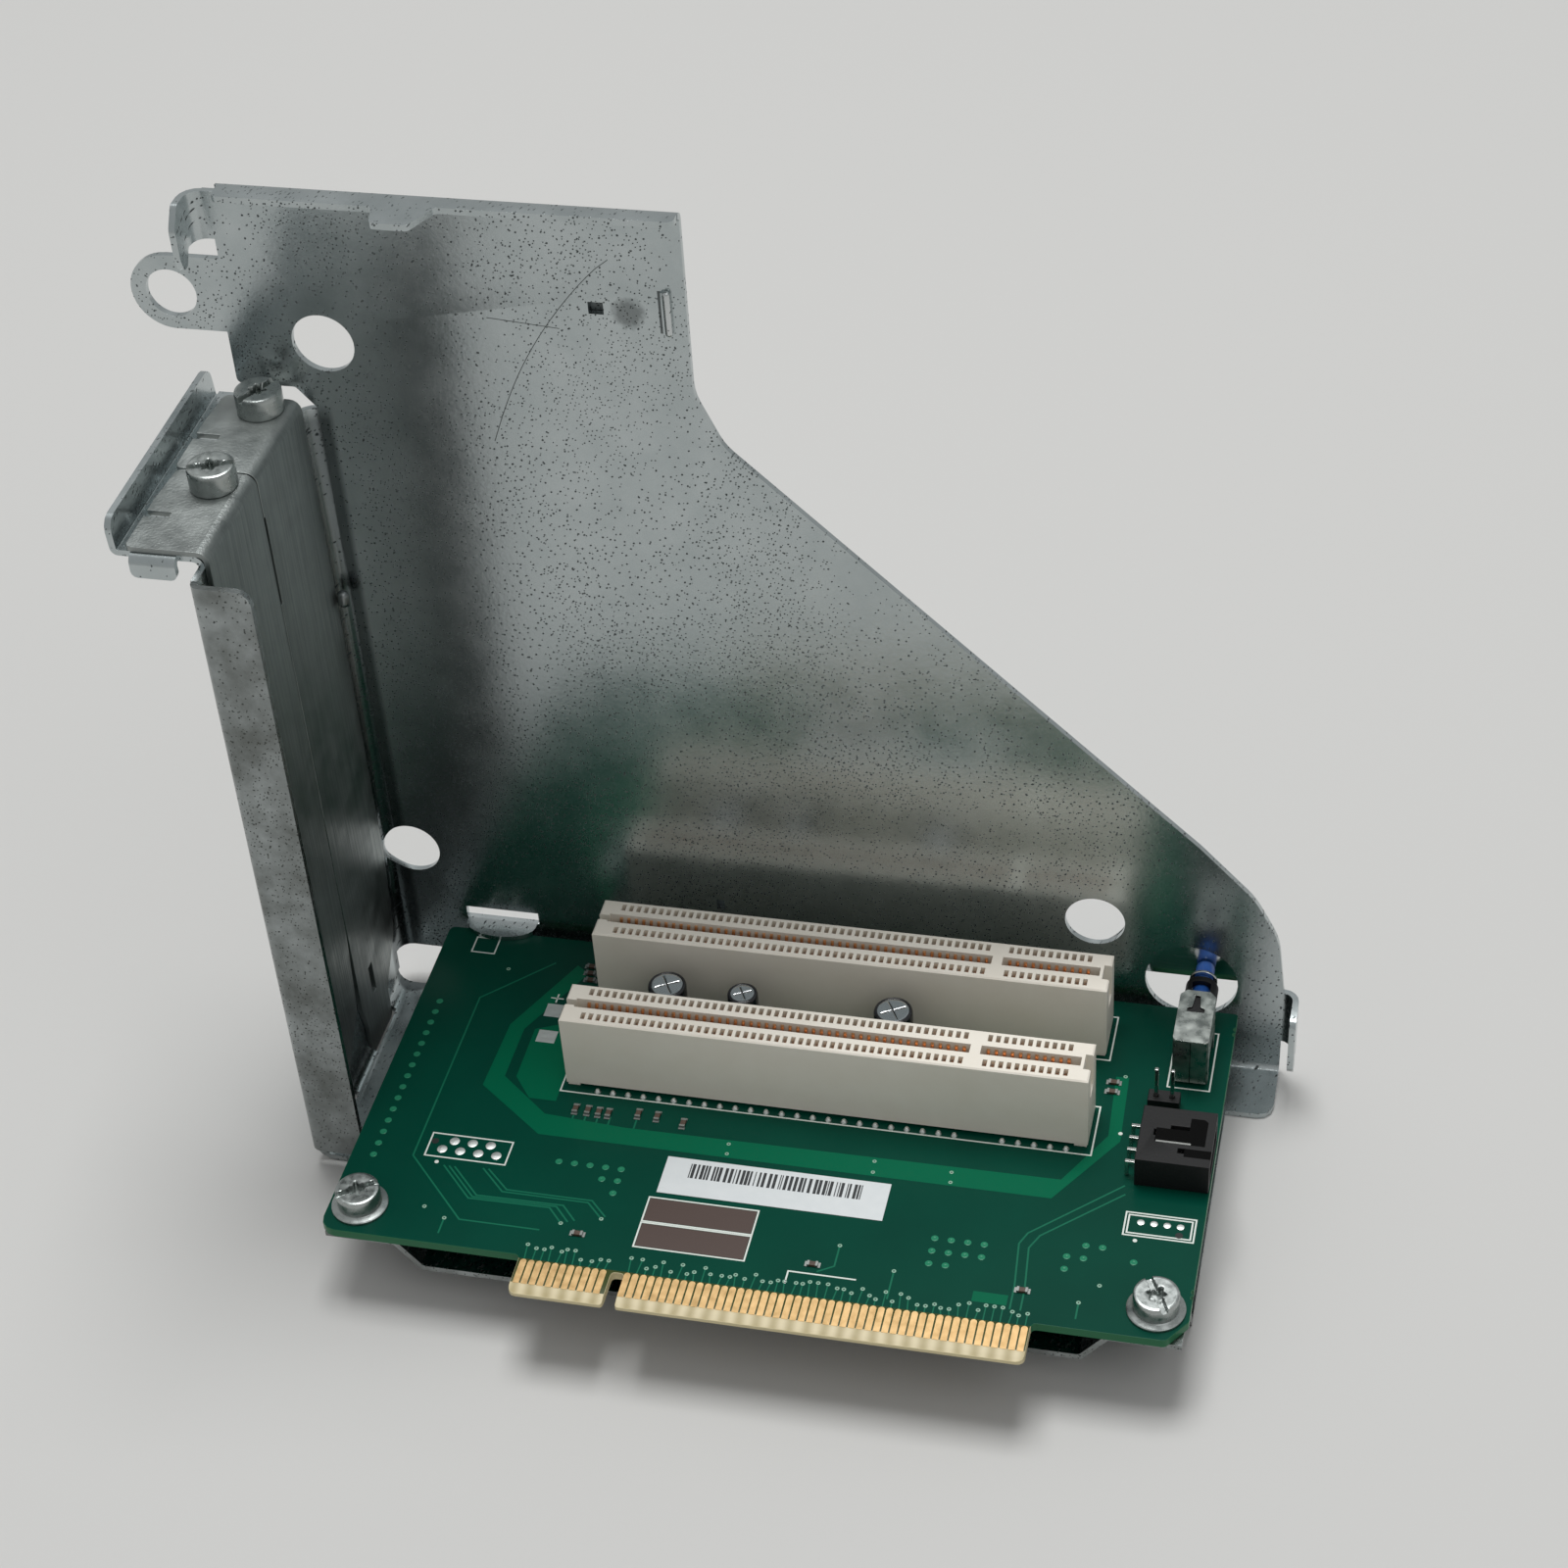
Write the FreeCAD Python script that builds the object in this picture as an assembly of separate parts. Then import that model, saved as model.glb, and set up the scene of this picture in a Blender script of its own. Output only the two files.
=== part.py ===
# Riser cage bracket: a folded sheet cage that holds an upright riser board with two card
# slots, two slot covers and a hood sensor switch.
# Millimetres. X runs along the card slots, Y from the finger edge to the big plate, Z up
# from the underside of the base. The origin lies on the underside of the base.
import FreeCAD
import Part
import math
import os

V = FreeCAD.Vector

# Card slots: contact pitch, first contact, slot pitch
PITCH = 1.27
FIRST_X = -20.0
POSITIONS = 62
KEY_FIRST = 49
KEY_LAST = 50
SLOT_Y = 4.81
SLOT_PITCH = 20.32
HOUSING_LONG = 84.84
HOUSING_LEFT = -23.67
HOUSING_WIDE = 8.5
HOUSING_HIGH = 14.63
HOUSING_RIGHT = HOUSING_LEFT + HOUSING_LONG

# Slot covers, one beside the other with a narrow gap
COVER_THICK = 0.86
COVER_WIDE = 19.7
COVER_PITCH = COVER_WIDE + 0.3
COVER_FRONT_Y = -6.2
FOOT_WIDE = 10.16
FOOT_FRONT = -5.2

# Sheet of the cage
SHEET = 1.0
BASE_TOP = 1.0
PLATE_FRONT = COVER_FRONT_Y + 2 * COVER_WIDE + 2.6
WALL_INSIDE = -64.4
SHELF_TOP = 120.1
PLATE_TOP = 156.0
BEND_IN = 2.5
RAIL_FRONT = COVER_FRONT_Y - 4.6
RAIL_RIGHT = WALL_INSIDE + 8.2

# Riser board
BOARD_THICK = 1.57
BOARD_TOP = 14.2
BOARD_LEFT = -53.8
BOARD_RIGHT = HOUSING_RIGHT + 19.83
BOARD_FRONT = -35.9
BOARD_REAR = PLATE_FRONT - 1.8
TONGUE_LEFT = FIRST_X - 1.1
TONGUE_RIGHT = FIRST_X + (POSITIONS - 1) * PITCH + 0.63
TONGUE_TIP = BOARD_FRONT - 7.3
PLATE_RIGHT = BOARD_RIGHT + 7.0
BOARD_SCREWS = [(BOARD_LEFT + 5.0, BOARD_FRONT + 5.7), (BOARD_RIGHT - 5.1, BOARD_FRONT + 5.7)]

# Sensor switch and the small parts beside it
SWITCH_X = BOARD_RIGHT - 5.95
SWITCH_FRONT = PLATE_FRONT - 19.4
SWITCH_AXIS_Z = 20.0
PLUNGER_D = 3.1
AUDIO_FIRST_Y = -3.96
AUDIO_LEFT = BOARD_RIGHT - 11.7
AUDIO_RIGHT = BOARD_RIGHT - 0.2
JUMPER_LEFT = BOARD_RIGHT - 11.8
JUMPER_Y = SWITCH_FRONT - 5.13

# Round holes of the plate: place along X, height, radius
HOLE_X = WALL_INSIDE + 5.1
PLATE_HOLES = [
    (HOLE_X, 129.8, 4.9), (HOLE_X, 29.7, 4.9), (PLATE_RIGHT - 30.9, 29.7, 4.9),
    (WALL_INSIDE - 17.7, 136.8, 4.0), (SWITCH_X - 2.05, 18.7, 7.55),
]


def box(x0, x1, y0, y1, z0, z1):
    return Part.makeBox(x1 - x0, y1 - y0, z1 - z0, V(x0, y0, z0))


def rod(x, y, z, radius, length, axis=V(0, 0, 1)):
    return Part.makeCylinder(radius, length, V(x, y, z), axis)


def face_of(points):
    return Part.Face(Part.makePolygon(points + [points[0]]))


def prism(x, y, z, radius, length, sides, along_y=False):
    """Small round thing shown as an upright prism, or as one that lies along Y."""
    ring = []
    for i in range(sides):
        a = 2 * math.pi * i / sides
        ring.append(V(radius * math.cos(a), radius * math.sin(a), 0))
    shape = face_of(ring).extrude(V(0, 0, length))
    if along_y:
        shape.rotate(V(0, 0, 0), V(1, 0, 0), -90)
    shape.translate(V(x, y, z))
    return shape


def slab_xz(points, y0, y1):
    return face_of([V(x, y0, z) for x, z in points]).extrude(V(0, y1 - y0, 0))


def slab_xy(points, z0, z1):
    return face_of([V(x, y, z0) for x, y in points]).extrude(V(0, 0, z1 - z0))


def slab_yz(points, x0, x1):
    return face_of([V(x0, y, z) for y, z in points]).extrude(V(x1 - x0, 0, 0))


def arc(cx, cy, radius, start, end, steps):
    turn = [math.radians(start + (end - start) * i / steps) for i in range(steps + 1)]
    return [(cx + radius * math.cos(a), cy + radius * math.sin(a)) for a in turn]


def rounded(points, radii, steps=3):
    """Polygon with every corner rounded by its own radius."""
    out = []
    count = len(points)
    for i in range(count):
        p = points[i]
        r = radii[i]
        if r == 0:
            out.append(p)
            continue
        a = points[i - 1]
        b = points[(i + 1) % count]
        ua = ((a[0] - p[0]), (a[1] - p[1]))
        ub = ((b[0] - p[0]), (b[1] - p[1]))
        la = math.hypot(*ua)
        lb = math.hypot(*ub)
        ua = (ua[0] / la, ua[1] / la)
        ub = (ub[0] / lb, ub[1] / lb)
        half = math.acos(max(-1.0, min(1.0, ua[0] * ub[0] + ua[1] * ub[1]))) / 2
        cut = r / math.tan(half)
        mid = (ua[0] + ub[0], ua[1] + ub[1])
        ml = math.hypot(*mid)
        centre = (p[0] + mid[0] / ml * r / math.sin(half), p[1] + mid[1] / ml * r / math.sin(half))
        start = math.atan2(p[1] + ua[1] * cut - centre[1], p[0] + ua[0] * cut - centre[0])
        end = math.atan2(p[1] + ub[1] * cut - centre[1], p[0] + ub[0] * cut - centre[0])
        sweep = (end - start + math.pi) % (2 * math.pi) - math.pi
        for k in range(steps + 1):
            angle = start + sweep * k / steps
            out.append((centre[0] + r * math.cos(angle), centre[1] + r * math.sin(angle)))
    return out


def bend(cu, cv, r_in, r_out, start, end, steps=4):
    """Closed outline of a quarter bend between two radii."""
    return arc(cu, cv, r_out, start, end, steps) + arc(cu, cv, r_in, end, start, steps)


def fuse(shapes):
    out = shapes[0]
    for shape in shapes[1:]:
        out = out.fuse(shape)
    return out.removeSplitter()


def plate_parts():
    """Big upright plate with its ear, its top lip and its two hooks."""
    y0 = PLATE_FRONT
    y1 = y0 + SHEET
    wall_out = WALL_INSIDE - SHEET
    outline = [
        (WALL_INSIDE + BEND_IN, 7.2),
        (-46.0, 7.2),
        (-44.0, BASE_TOP + 1.0),
        (PLATE_RIGHT, BASE_TOP + 1.0),
        (PLATE_RIGHT, 18.4),
        (PLATE_RIGHT - 1.2, 29.6),
        (PLATE_RIGHT - 5.4, 37.8),
        (PLATE_RIGHT - 14.3, 47.5),
        (1.3, 116.7),
        (-2.65, 125.5),
        (-2.5, PLATE_TOP - 1.5),
        (-71.6, PLATE_TOP - 1.5),
        (-74.3, PLATE_TOP - 1.5),
        (-74.3, SHELF_TOP + 1.6),
        (wall_out + 0.4, SHELF_TOP + 1.6),
        (WALL_INSIDE + BEND_IN, SHELF_TOP - 2.0),
    ]
    radii = [0, 0, 0, 0, 0, 14, 14, 14, 9, 9, 0, 0, 0, 0.8, 0.8, 0.8]
    plate = slab_xz(rounded(outline, radii), y0, y1)
    ear = box(-82.2, -74.0, y0, y1, 130.65, 143.2)
    ear = ear.fuse(rod(-82.2, y0, 136.9, 6.27, SHEET, V(0, 1, 0)))
    slot = box(-76.2, -73.4, y0 - 1, y1 + 1, 143.2, 146.6)
    plate = plate.fuse(ear).cut(slot)
    for x, z, r in PLATE_HOLES:
        hole = rod(x, y0 - 1, z, r, 3, V(0, 1, 0)) if r < 7 else prism(x, y0 - 1, z, r, 3, 40, True)
        plate = plate.cut(hole)
    plate = plate.cut(box(-17.3, -15.0, y0 - 1, y1 + 1, 138.3, 140.3))
    plate = plate.cut(box(-6.35, -4.9, y0 + 0.45, y1 + 1, 135.7, 143.1))
    plate = plate.fuse(box(-6.15, -5.1, y0 - 0.55, y0 + 0.45, 135.9, 142.9))
    obround = box(-6.4, -5.0, y0 - 1, y1 + 1, 23.4, 25.4)
    plate = plate.cut(obround)
    # Tongue pressed forward over the rear edge of the board
    plate = plate.cut(box(-51.2, -38.4, y0 - 1, y1 + 1, BOARD_TOP + 0.95, BOARD_TOP + 3.4))
    tongue = [(-51.0, y0 + 0.4), (-51.0, y0 - 0.9)]
    tongue += [(-44.9 + 6.1 * math.cos(math.radians(a)), y0 - 0.9 - 3.2 * math.sin(math.radians(a)))
               for a in range(165, 0, -15)]
    tongue += [(-38.8, y0 - 0.9), (-38.8, y0 + 0.4)]
    plate = plate.fuse(slab_xy(tongue, BOARD_TOP + 0.1, BOARD_TOP + 0.95))
    return plate


def top_lip():
    """Lip along the top of the plate, with one wider tab."""
    y0 = PLATE_FRONT
    curve = slab_yz(bend(y0 - 0.5, PLATE_TOP - 1.5, 0.5, 1.5, 0, 90), -71.6, -2.5)
    outline = [
        (-71.2, y0 - 0.5), (-71.2, y0 - 3.8), (-46.6, y0 - 3.8), (-45.6, y0 - 8.3),
        (-39.9, y0 - 8.3), (-37.4, y0 - 3.0), (-2.6, y0 - 3.0), (-2.6, y0 - 0.5),
    ]
    flat = slab_xy(rounded(outline, [0, 1.0, 0.6, 1.0, 0.8, 0.8, 1.0, 0]), PLATE_TOP - 1.0, PLATE_TOP)
    return curve.fuse(flat)


def left_hook():
    """Hook at the top left, turned towards the board side with a finger pointing down."""
    y0 = PLATE_FRONT
    top = PLATE_TOP - 1.6
    root = slab_xy(bend(-74.3, y0 - 2.0, 2.0, 3.0, 90, 180), 146.6, top)
    outline = [
        (y0 - 2.0, 146.6), (y0 - 3.0, 146.8), (y0 - 4.3, 144.4), (y0 - 5.7, 144.4),
        (y0 - 6.4, 146.4), (y0 - 6.4, 151.4), (y0 - 4.2, top), (y0 - 2.0, top),
    ]
    leaf = slab_yz(rounded(outline, [0, 0.5, 0.6, 0.6, 1.5, 2.0, 1.0, 0]), -77.3, -76.3)
    return root.fuse(leaf)


def right_hook():
    """Hook on the right edge: a leaf turned forward with a leg pointing down."""
    y0 = PLATE_FRONT
    root = slab_xy(bend(PLATE_RIGHT, y0 - 1.6, 1.6, 2.6, 0, 90), 7.5, 18.3)
    outline = [
        (y0 - 1.6, 18.3), (y0 - 7.1, 18.3), (y0 - 7.1, 8.2), (y0 - 5.0, 5.6),
        (y0 - 3.0, 5.6), (y0 - 3.0, 7.5), (y0 - 1.6, 7.5),
    ]
    leaf = slab_yz(rounded(outline, [0, 1.5, 0.8, 0.8, 0.5, 0, 0]), PLATE_RIGHT + 1.6, PLATE_RIGHT + 2.6)
    return root.fuse(leaf)


def wall_parts():
    """Slotted wall, the shelf for the cover tabs, the front rail and their bends."""
    out = WALL_INSIDE - SHEET
    y_rear = PLATE_FRONT - BEND_IN
    wall = box(out, WALL_INSIDE, RAIL_FRONT + 1.5, y_rear, BEND_IN + 1.0, SHELF_TOP - 1.8)
    for i in range(2):
        y = COVER_FRONT_Y + 3.0 + i * COVER_PITCH
        wall = wall.cut(box(out - 1, WALL_INSIDE + 1, y, y + COVER_WIDE - 6.7, 16.0, 112.0))
        wall = wall.cut(box(out - 1, WALL_INSIDE + 1, y - 1.6, y - 0.4, 84.0, 92.0))
    turn = bend(WALL_INSIDE + BEND_IN, y_rear, BEND_IN, BEND_IN + SHEET, 90, 180)
    corner = slab_xy(turn, 7.2, SHELF_TOP - 2.0)
    foot = slab_xz(bend(WALL_INSIDE + BEND_IN, BASE_TOP + BEND_IN, BEND_IN, BEND_IN + SHEET, 180, 270),
                   RAIL_FRONT + 1.5, 32.6)
    shelf_bend = slab_xz(bend(out - 0.8, SHELF_TOP - 1.8, 0.8, 1.8, 0, 90), COVER_FRONT_Y + 0.2, y_rear)
    y_lip = COVER_FRONT_Y + 0.2
    y_end = PLATE_FRONT - 0.4
    outline = [(-77.4, y_lip), (-77.4, y_end), (-70.0, y_end), (out - 0.8, y_rear), (out - 0.8, y_lip)]
    shelf = slab_xy(outline, SHELF_TOP - SHEET, SHELF_TOP)
    for i in range(2):
        y = COVER_FRONT_Y + COVER_WIDE - 3.3 + i * COVER_PITCH
        shelf = shelf.cut(prism(-68.6, y, SHELF_TOP - 2, 1.75, 4, 12))
        shelf = shelf.cut(box(-76.4, -72.2, y - 9.0, y - 7.2, SHELF_TOP - 2, SHELF_TOP + 1))
    lip_bend = slab_xz(bend(-77.4, SHELF_TOP + 0.2, 0.2, 1.2, 180, 270), y_lip, y_end - 0.8)
    lip = slab_yz(rounded([
        (y_lip, SHELF_TOP + 0.2), (y_lip - 0.4, SHELF_TOP + 5.2),
        (y_end - 1.4, SHELF_TOP + 5.2), (y_end - 0.8, SHELF_TOP + 0.2),
    ], [0, 2.0, 2.0, 0]), -78.6, -77.6)
    tab_bend = slab_yz(bend(y_lip, SHELF_TOP - 1.4, 0.4, 1.4, 90, 180), -75.4, -68.4)
    tab = slab_xz(rounded([(-75.4, SHELF_TOP - 1.4), (-68.4, SHELF_TOP - 1.4), (-68.4, SHELF_TOP - 3.6),
                           (-75.4, SHELF_TOP - 3.6)], [0, 0, 1.0, 1.0]), y_lip - 1.4, y_lip - 0.4)
    rail_bend = slab_xy(bend(WALL_INSIDE + 0.5, RAIL_FRONT + 1.5, 0.5, 1.5, 180, 270), 3.4, 118.1)
    rail = slab_xz(rounded([(WALL_INSIDE + 0.5, 3.4), (RAIL_RIGHT, 3.4), (RAIL_RIGHT, 118.1),
                            (WALL_INSIDE + 0.5, 118.1)], [0, 1.0, 2.2, 0]), RAIL_FRONT, RAIL_FRONT + SHEET)
    return [wall, corner, foot, shelf_bend, shelf, lip_bend, lip, tab_bend, tab, rail_bend, rail]


def base_parts():
    """Base under the board, its raised front strip and the two pads the board sits on."""
    x0 = WALL_INSIDE + BEND_IN
    y0 = PLATE_FRONT
    right = BOARD_RIGHT - 0.6
    outline = [
        (x0, RAIL_FRONT + 1.5), (-60.2, RAIL_FRONT + 1.5), (-53.0, -20.0), (-41.8, -20.0),
        (-37.8, -27.5), (right - 15.3, -27.5), (right - 11.3, -20.0), (right, -20.0), (right, 24.8),
        (PLATE_RIGHT, 24.8), (PLATE_RIGHT, y0 - 1.0), (-44.0, y0 - 1.0), (-46.0, 32.6), (x0, 32.6),
    ]
    base = slab_xy(rounded(outline, [0, 0, 0, 0, 0, 0, 0, 0, 0, 2.6, 0, 0, 0, 0]), 0, BASE_TOP)
    heel = slab_yz(bend(y0 - 1.0, 2.0, 1.0, 2.0, 270, 360), -44.0, PLATE_RIGHT)
    pad_top = BOARD_TOP - BOARD_THICK
    strip_top = 7.5
    hat = [
        (-53.2, pad_top), (-41.8, pad_top), (-37.8, strip_top), (right - 15.3, strip_top),
        (right - 11.3, pad_top), (right, pad_top), (right, pad_top - 1.0), (right - 10.9, pad_top - 1.0),
        (right - 14.9, strip_top - 1.0), (-38.2, strip_top - 1.0), (-42.2, pad_top - 1.0),
        (-53.2, pad_top - 1.0),
    ]
    front = slab_xz(rounded(hat, [0, 1, 1, 1, 1, 0, 0, 0.4, 0.4, 0.4, 0.4, 0]), BOARD_FRONT + 0.8, -31.0)
    mid_ramp = slab_yz([(-31.0, strip_top), (-27.5, BASE_TOP), (-27.5, 0.0), (-27.9, 0.0),
                        (-31.4, strip_top - 1.0), (-31.4, strip_top)], -37.8, right - 15.3)
    parts = [base, heel, front, mid_ramp]
    for xa, xb in [(-53.2, -42.0), (right - 11.1, right)]:
        parts.append(slab_yz([(-31.4, pad_top), (-26.0, pad_top), (-19.9, BASE_TOP), (-19.9, 0.0),
                              (-20.5, 0.0), (-26.6, pad_top - 1.0), (-31.4, pad_top - 1.0)], xa, xb))
    return parts


def cage():
    frame = fuse([plate_parts(), top_lip(), left_hook(), right_hook()] + wall_parts() + base_parts())
    for x, y in BOARD_SCREWS:
        frame = frame.cut(prism(x, y, 5, 1.42, 12, 12))
    # Slots for the feet of the covers, through the bend between wall and base
    for i in range(2):
        y = FOOT_FRONT - 0.2 + i * SLOT_PITCH
        frame = frame.cut(box(WALL_INSIDE + 0.02, WALL_INSIDE + 1.6, y, y + FOOT_WIDE + 0.4, -1, 5.0))
    # The low hole by the wall runs into the bend between wall and plate
    x, z, r = PLATE_HOLES[1]
    return frame.cut(rod(x, PLATE_FRONT - 3.4, z, r, 6, V(0, 1, 0)))


def slot_cover(index):
    """Blank cover: an upright strip, a tab on the shelf and a narrower foot."""
    x1 = WALL_INSIDE + 0.04
    x2 = x1 + COVER_THICK
    y0 = COVER_FRONT_Y + index * COVER_PITCH
    y1 = y0 + COVER_WIDE
    foot = FOOT_FRONT + index * SLOT_PITCH
    z_tab = SHELF_TOP + 0.02
    z_top = z_tab + COVER_THICK
    outline = [
        (y0, z_top - 1.8), (y0, 12.0), (foot, 6.6), (foot, 0.1), (foot + FOOT_WIDE, 0.1),
        (foot + FOOT_WIDE, 6.6), (y1 - 1.5, 14.0), (y1, 30.0), (y1, z_top - 1.8),
    ]
    strip = slab_yz(rounded(outline, [0, 1, 1, 0.8, 0.8, 1, 3, 6, 0]), x1, x2)
    strip = strip.cut(box(x1 - 1, x2 + 1, y0 - 1, y0 + 0.5, 97.0, 113.0))
    curve = slab_xz(bend(x2 - 1.8, z_top - 1.8, 1.8 - COVER_THICK, 1.8, 0, 90), y0, y1)
    outline = [(x2 - 1.8, y0), (x2 - 1.8, y1), (-75.6, y1), (-76.2, y0 + 12.0), (-76.2, y0)]
    tab = slab_xy(rounded(outline, [0, 0, 1.0, 0, 1.0]), z_tab, z_top)
    slot_z = 13.6
    hole = box(x1 - 1, x2 + 1, foot + 4.0, foot + 5.6, slot_z - 3.0, slot_z + 3.0)
    cover = fuse([strip, curve, tab]).cut(hole)
    y_screw = y1 - 3.3
    cover = cover.cut(prism(-68.6, y_screw, z_tab - 1, 2.2, 4, 12))
    cover = cover.cut(box(-77.0, -72.4, y_screw - 8.8, y_screw - 7.4, z_tab - 1, z_top + 1))
    return cover


def head_recess(x, y, z_top, deep):
    """Six lobed socket crossed by a slot."""
    ring = []
    for i in range(24):
        a = math.radians(15 * i)
        r = 1.28 + 0.22 * math.cos(6 * a)
        ring.append((x + r * math.cos(a), y + r * math.sin(a)))
    slot = box(x - 4.5, x + 4.5, y - 0.5, y + 0.5, z_top - 0.9, z_top + 1)
    slot.rotate(V(x, y, 0), V(0, 0, 1), 35)
    return fuse([slab_xy(ring, z_top - deep, z_top + 1), slot])


def cover_screw(index):
    y = COVER_FRONT_Y + COVER_WIDE - 3.3 + index * COVER_PITCH
    seat = SHELF_TOP + 0.02 + COVER_THICK
    head = prism(-68.6, y, seat + 0.02, 3.6, 3.7, 32)
    head = head.fuse(prism(-68.6, y, seat - 5.2, 1.7, 5.4, 12))
    return head.cut(head_recess(-68.6, y, seat + 3.72, 1.8)).removeSplitter()


def board_screw(x, y):
    seat = BOARD_TOP + 0.02
    screw = prism(x, y, seat, 4.45, 0.7, 32)
    screw = screw.fuse(prism(x, y, seat + 0.6, 3.5, 3.2, 32))
    screw = screw.fuse(prism(x, y, seat - 5.6, 1.35, 5.8, 12))
    return screw.cut(head_recess(x, y, seat + 3.8, 1.8)).removeSplitter()


def riser_board():
    z0 = BOARD_TOP - BOARD_THICK
    f = BOARD_FRONT
    outline = [
        (BOARD_LEFT, BOARD_REAR), (BOARD_LEFT, f), (TONGUE_LEFT, f), (TONGUE_LEFT, TONGUE_TIP),
        (-6.2, TONGUE_TIP), (-6.2, f - 1.0), (-4.2, f - 1.0), (-4.2, TONGUE_TIP),
        (TONGUE_RIGHT, TONGUE_TIP), (TONGUE_RIGHT, f), (BOARD_RIGHT - 3.0, f),
        (BOARD_RIGHT, f + 4.2), (BOARD_RIGHT, BOARD_REAR),
    ]
    radii = [1.0, 2.5, 0.8, 1.2, 0.5, 0.6, 0.6, 0.5, 1.2, 0.8, 1.0, 1.0, 0.5]
    board = slab_xy(rounded(outline, radii), z0, BOARD_TOP)
    for x, y in BOARD_SCREWS:
        board = board.cut(prism(x, y, z0 - 1, 1.75, 4, 12))
    for y in (-27.0, -25.9, 29.2, 30.4):
        board = board.cut(prism(BOARD_RIGHT, y, z0 - 1, 0.42, 4, 8))
    bevel = slab_yz([(TONGUE_TIP - 1, z0 - 1), (TONGUE_TIP - 1, z0 + 0.45), (TONGUE_TIP, z0 + 0.45),
                     (TONGUE_TIP + 1.5, z0), (TONGUE_TIP + 1.5, z0 - 1)], TONGUE_LEFT - 9, TONGUE_RIGHT + 9)
    top_bevel = slab_yz([(TONGUE_TIP - 1, BOARD_TOP + 1), (TONGUE_TIP - 1, BOARD_TOP - 0.45),
                         (TONGUE_TIP, BOARD_TOP - 0.45), (TONGUE_TIP + 1.5, BOARD_TOP),
                         (TONGUE_TIP + 1.5, BOARD_TOP + 1)], TONGUE_LEFT - 9, TONGUE_RIGHT + 9)
    return board.cut(bevel).cut(top_bevel)


def finger_positions():
    return [i for i in range(POSITIONS) if i < 11 or i > 12]


def edge_fingers(z0, z1):
    """Gold fingers on one face of the finger edge, thinning towards their roots."""
    y0 = -41.4
    y1 = -36.8
    profile = [(y0, z0), (y0, z1), (y1, (z0 + z1) / 2)]
    fingers = []
    for i in finger_positions():
        x = FIRST_X - 0.17 + i * PITCH
        fingers.append(slab_yz(profile, x - 0.5, x + 0.5))
    return Part.makeCompound(fingers)


def slot_positions():
    return [i for i in range(POSITIONS) if i < KEY_FIRST or i > KEY_LAST]


def slot_housing(index):
    """Card slot body with its card groove, key and contact windows."""
    yc = SLOT_Y + index * SLOT_PITCH
    z0 = BOARD_TOP
    z1 = z0 + HOUSING_HIGH
    x0 = HOUSING_LEFT
    x1 = HOUSING_RIGHT
    half = HOUSING_WIDE / 2
    outline = rounded([(x0, yc - half), (x1, yc - half), (x1, yc + half), (x0, yc + half)], [0.5] * 4, 2)
    body = slab_xy(outline, z0 + 0.02, z1)
    body = body.cut(box(x0 + 2.2, x1 - 2.2, yc - 9, yc + 9, z0, z0 + 0.58))
    groove = box(x0 + 1.7, x1 - 1.7, yc - 0.95, yc + 0.95, z1 - 8.4, z1 + 1)
    key_x = FIRST_X + (KEY_FIRST + KEY_LAST) / 2 * PITCH
    groove = groove.cut(box(key_x - 0.85, key_x + 0.85, yc - 2, yc + 2, z1 - 9, z1))
    body = body.cut(groove)
    cuts = []
    for i in slot_positions():
        x = FIRST_X + i * PITCH
        for side in (-1, 1):
            y = yc + side * 2.74
            pocket = [(y + side * 0.4, z1 - 3.2), (y - side * 0.8, z1 + 0.1), (y + side * 0.7, z1 + 0.1)]
            cuts.append(slab_yz(pocket, x - 0.33, x + 0.33))
    body = body.cut(Part.makeCompound(cuts))
    body = body.cut(box(x1 - 1.2, x1 + 1, yc - 1.6, yc + 1.6, z1 - 6.0, z1 + 1))
    body = body.cut(box(x0 - 1, x0 + 1.8, yc - 0.6, yc + 0.6, z1 - 5.0, z1 + 1))
    return body


def slot_contacts(index):
    """Two rows of contact leaves that lean towards the groove in the windows of one slot."""
    yc = SLOT_Y + index * SLOT_PITCH
    z1 = BOARD_TOP + HOUSING_HIGH
    strips = []
    for i in slot_positions():
        x = FIRST_X + i * PITCH
        for side in (-1, 1):
            y = yc + side * 2.74
            leaf = [(y + side * 0.37, z1 - 2.9), (y - side * 0.3, z1 - 0.9), (y + side * 0.15, z1 - 0.9)]
            strips.append(slab_yz(leaf, x - 0.25, x + 0.25))
    return Part.makeCompound(strips)


def capacitor(x, diameter, height):
    """Upright can in a sleeve with a grooved neck."""
    y = 14.9
    r = diameter / 2
    outline = [
        (0, 0), (r, 0), (r, 1.2), (r - 0.3, 1.65), (r, 2.1), (r, height), (0, height),
    ]
    face = face_of([V(x + u, y, BOARD_TOP + 0.02 + w) for u, w in outline])
    return face.revolve(V(x, y, 0), V(0, 0, 1), 360)


def audio_shroud():
    """Right angle shroud open to the right, with keyed slots in its roof."""
    z0 = BOARD_TOP + 0.02
    z1 = z0 + 5.8
    x0 = AUDIO_LEFT
    x1 = AUDIO_RIGHT
    body = box(x0, x1, -6.0, 5.7, z0, z1)
    body = body.cut(box(x0 + 2.7, x1 + 1.2, -5.0, 4.7, z0 + 1.0, z1 - 1.0))
    body = body.cut(box(x0 + 2.2, x0 + 5.3, -0.4, 0.9, z1 - 1.5, z1 + 1))
    body = body.cut(box(x0 + 4.7, x1 - 1.8, 0.9, 2.0, z1 - 1.5, z1 + 1))
    body = body.cut(box(x0 + 6.3, x1 - 1.2, -3.6, -2.6, z1 - 1.5, z1 + 1))
    for i in range(4):
        y = AUDIO_FIRST_Y + i * 2.54
        body = body.cut(box(x0 - 1.3, x0 + 3.7, y - 0.33, y + 0.33, BOARD_TOP + 2.57, BOARD_TOP + 3.23))
    return body


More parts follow.
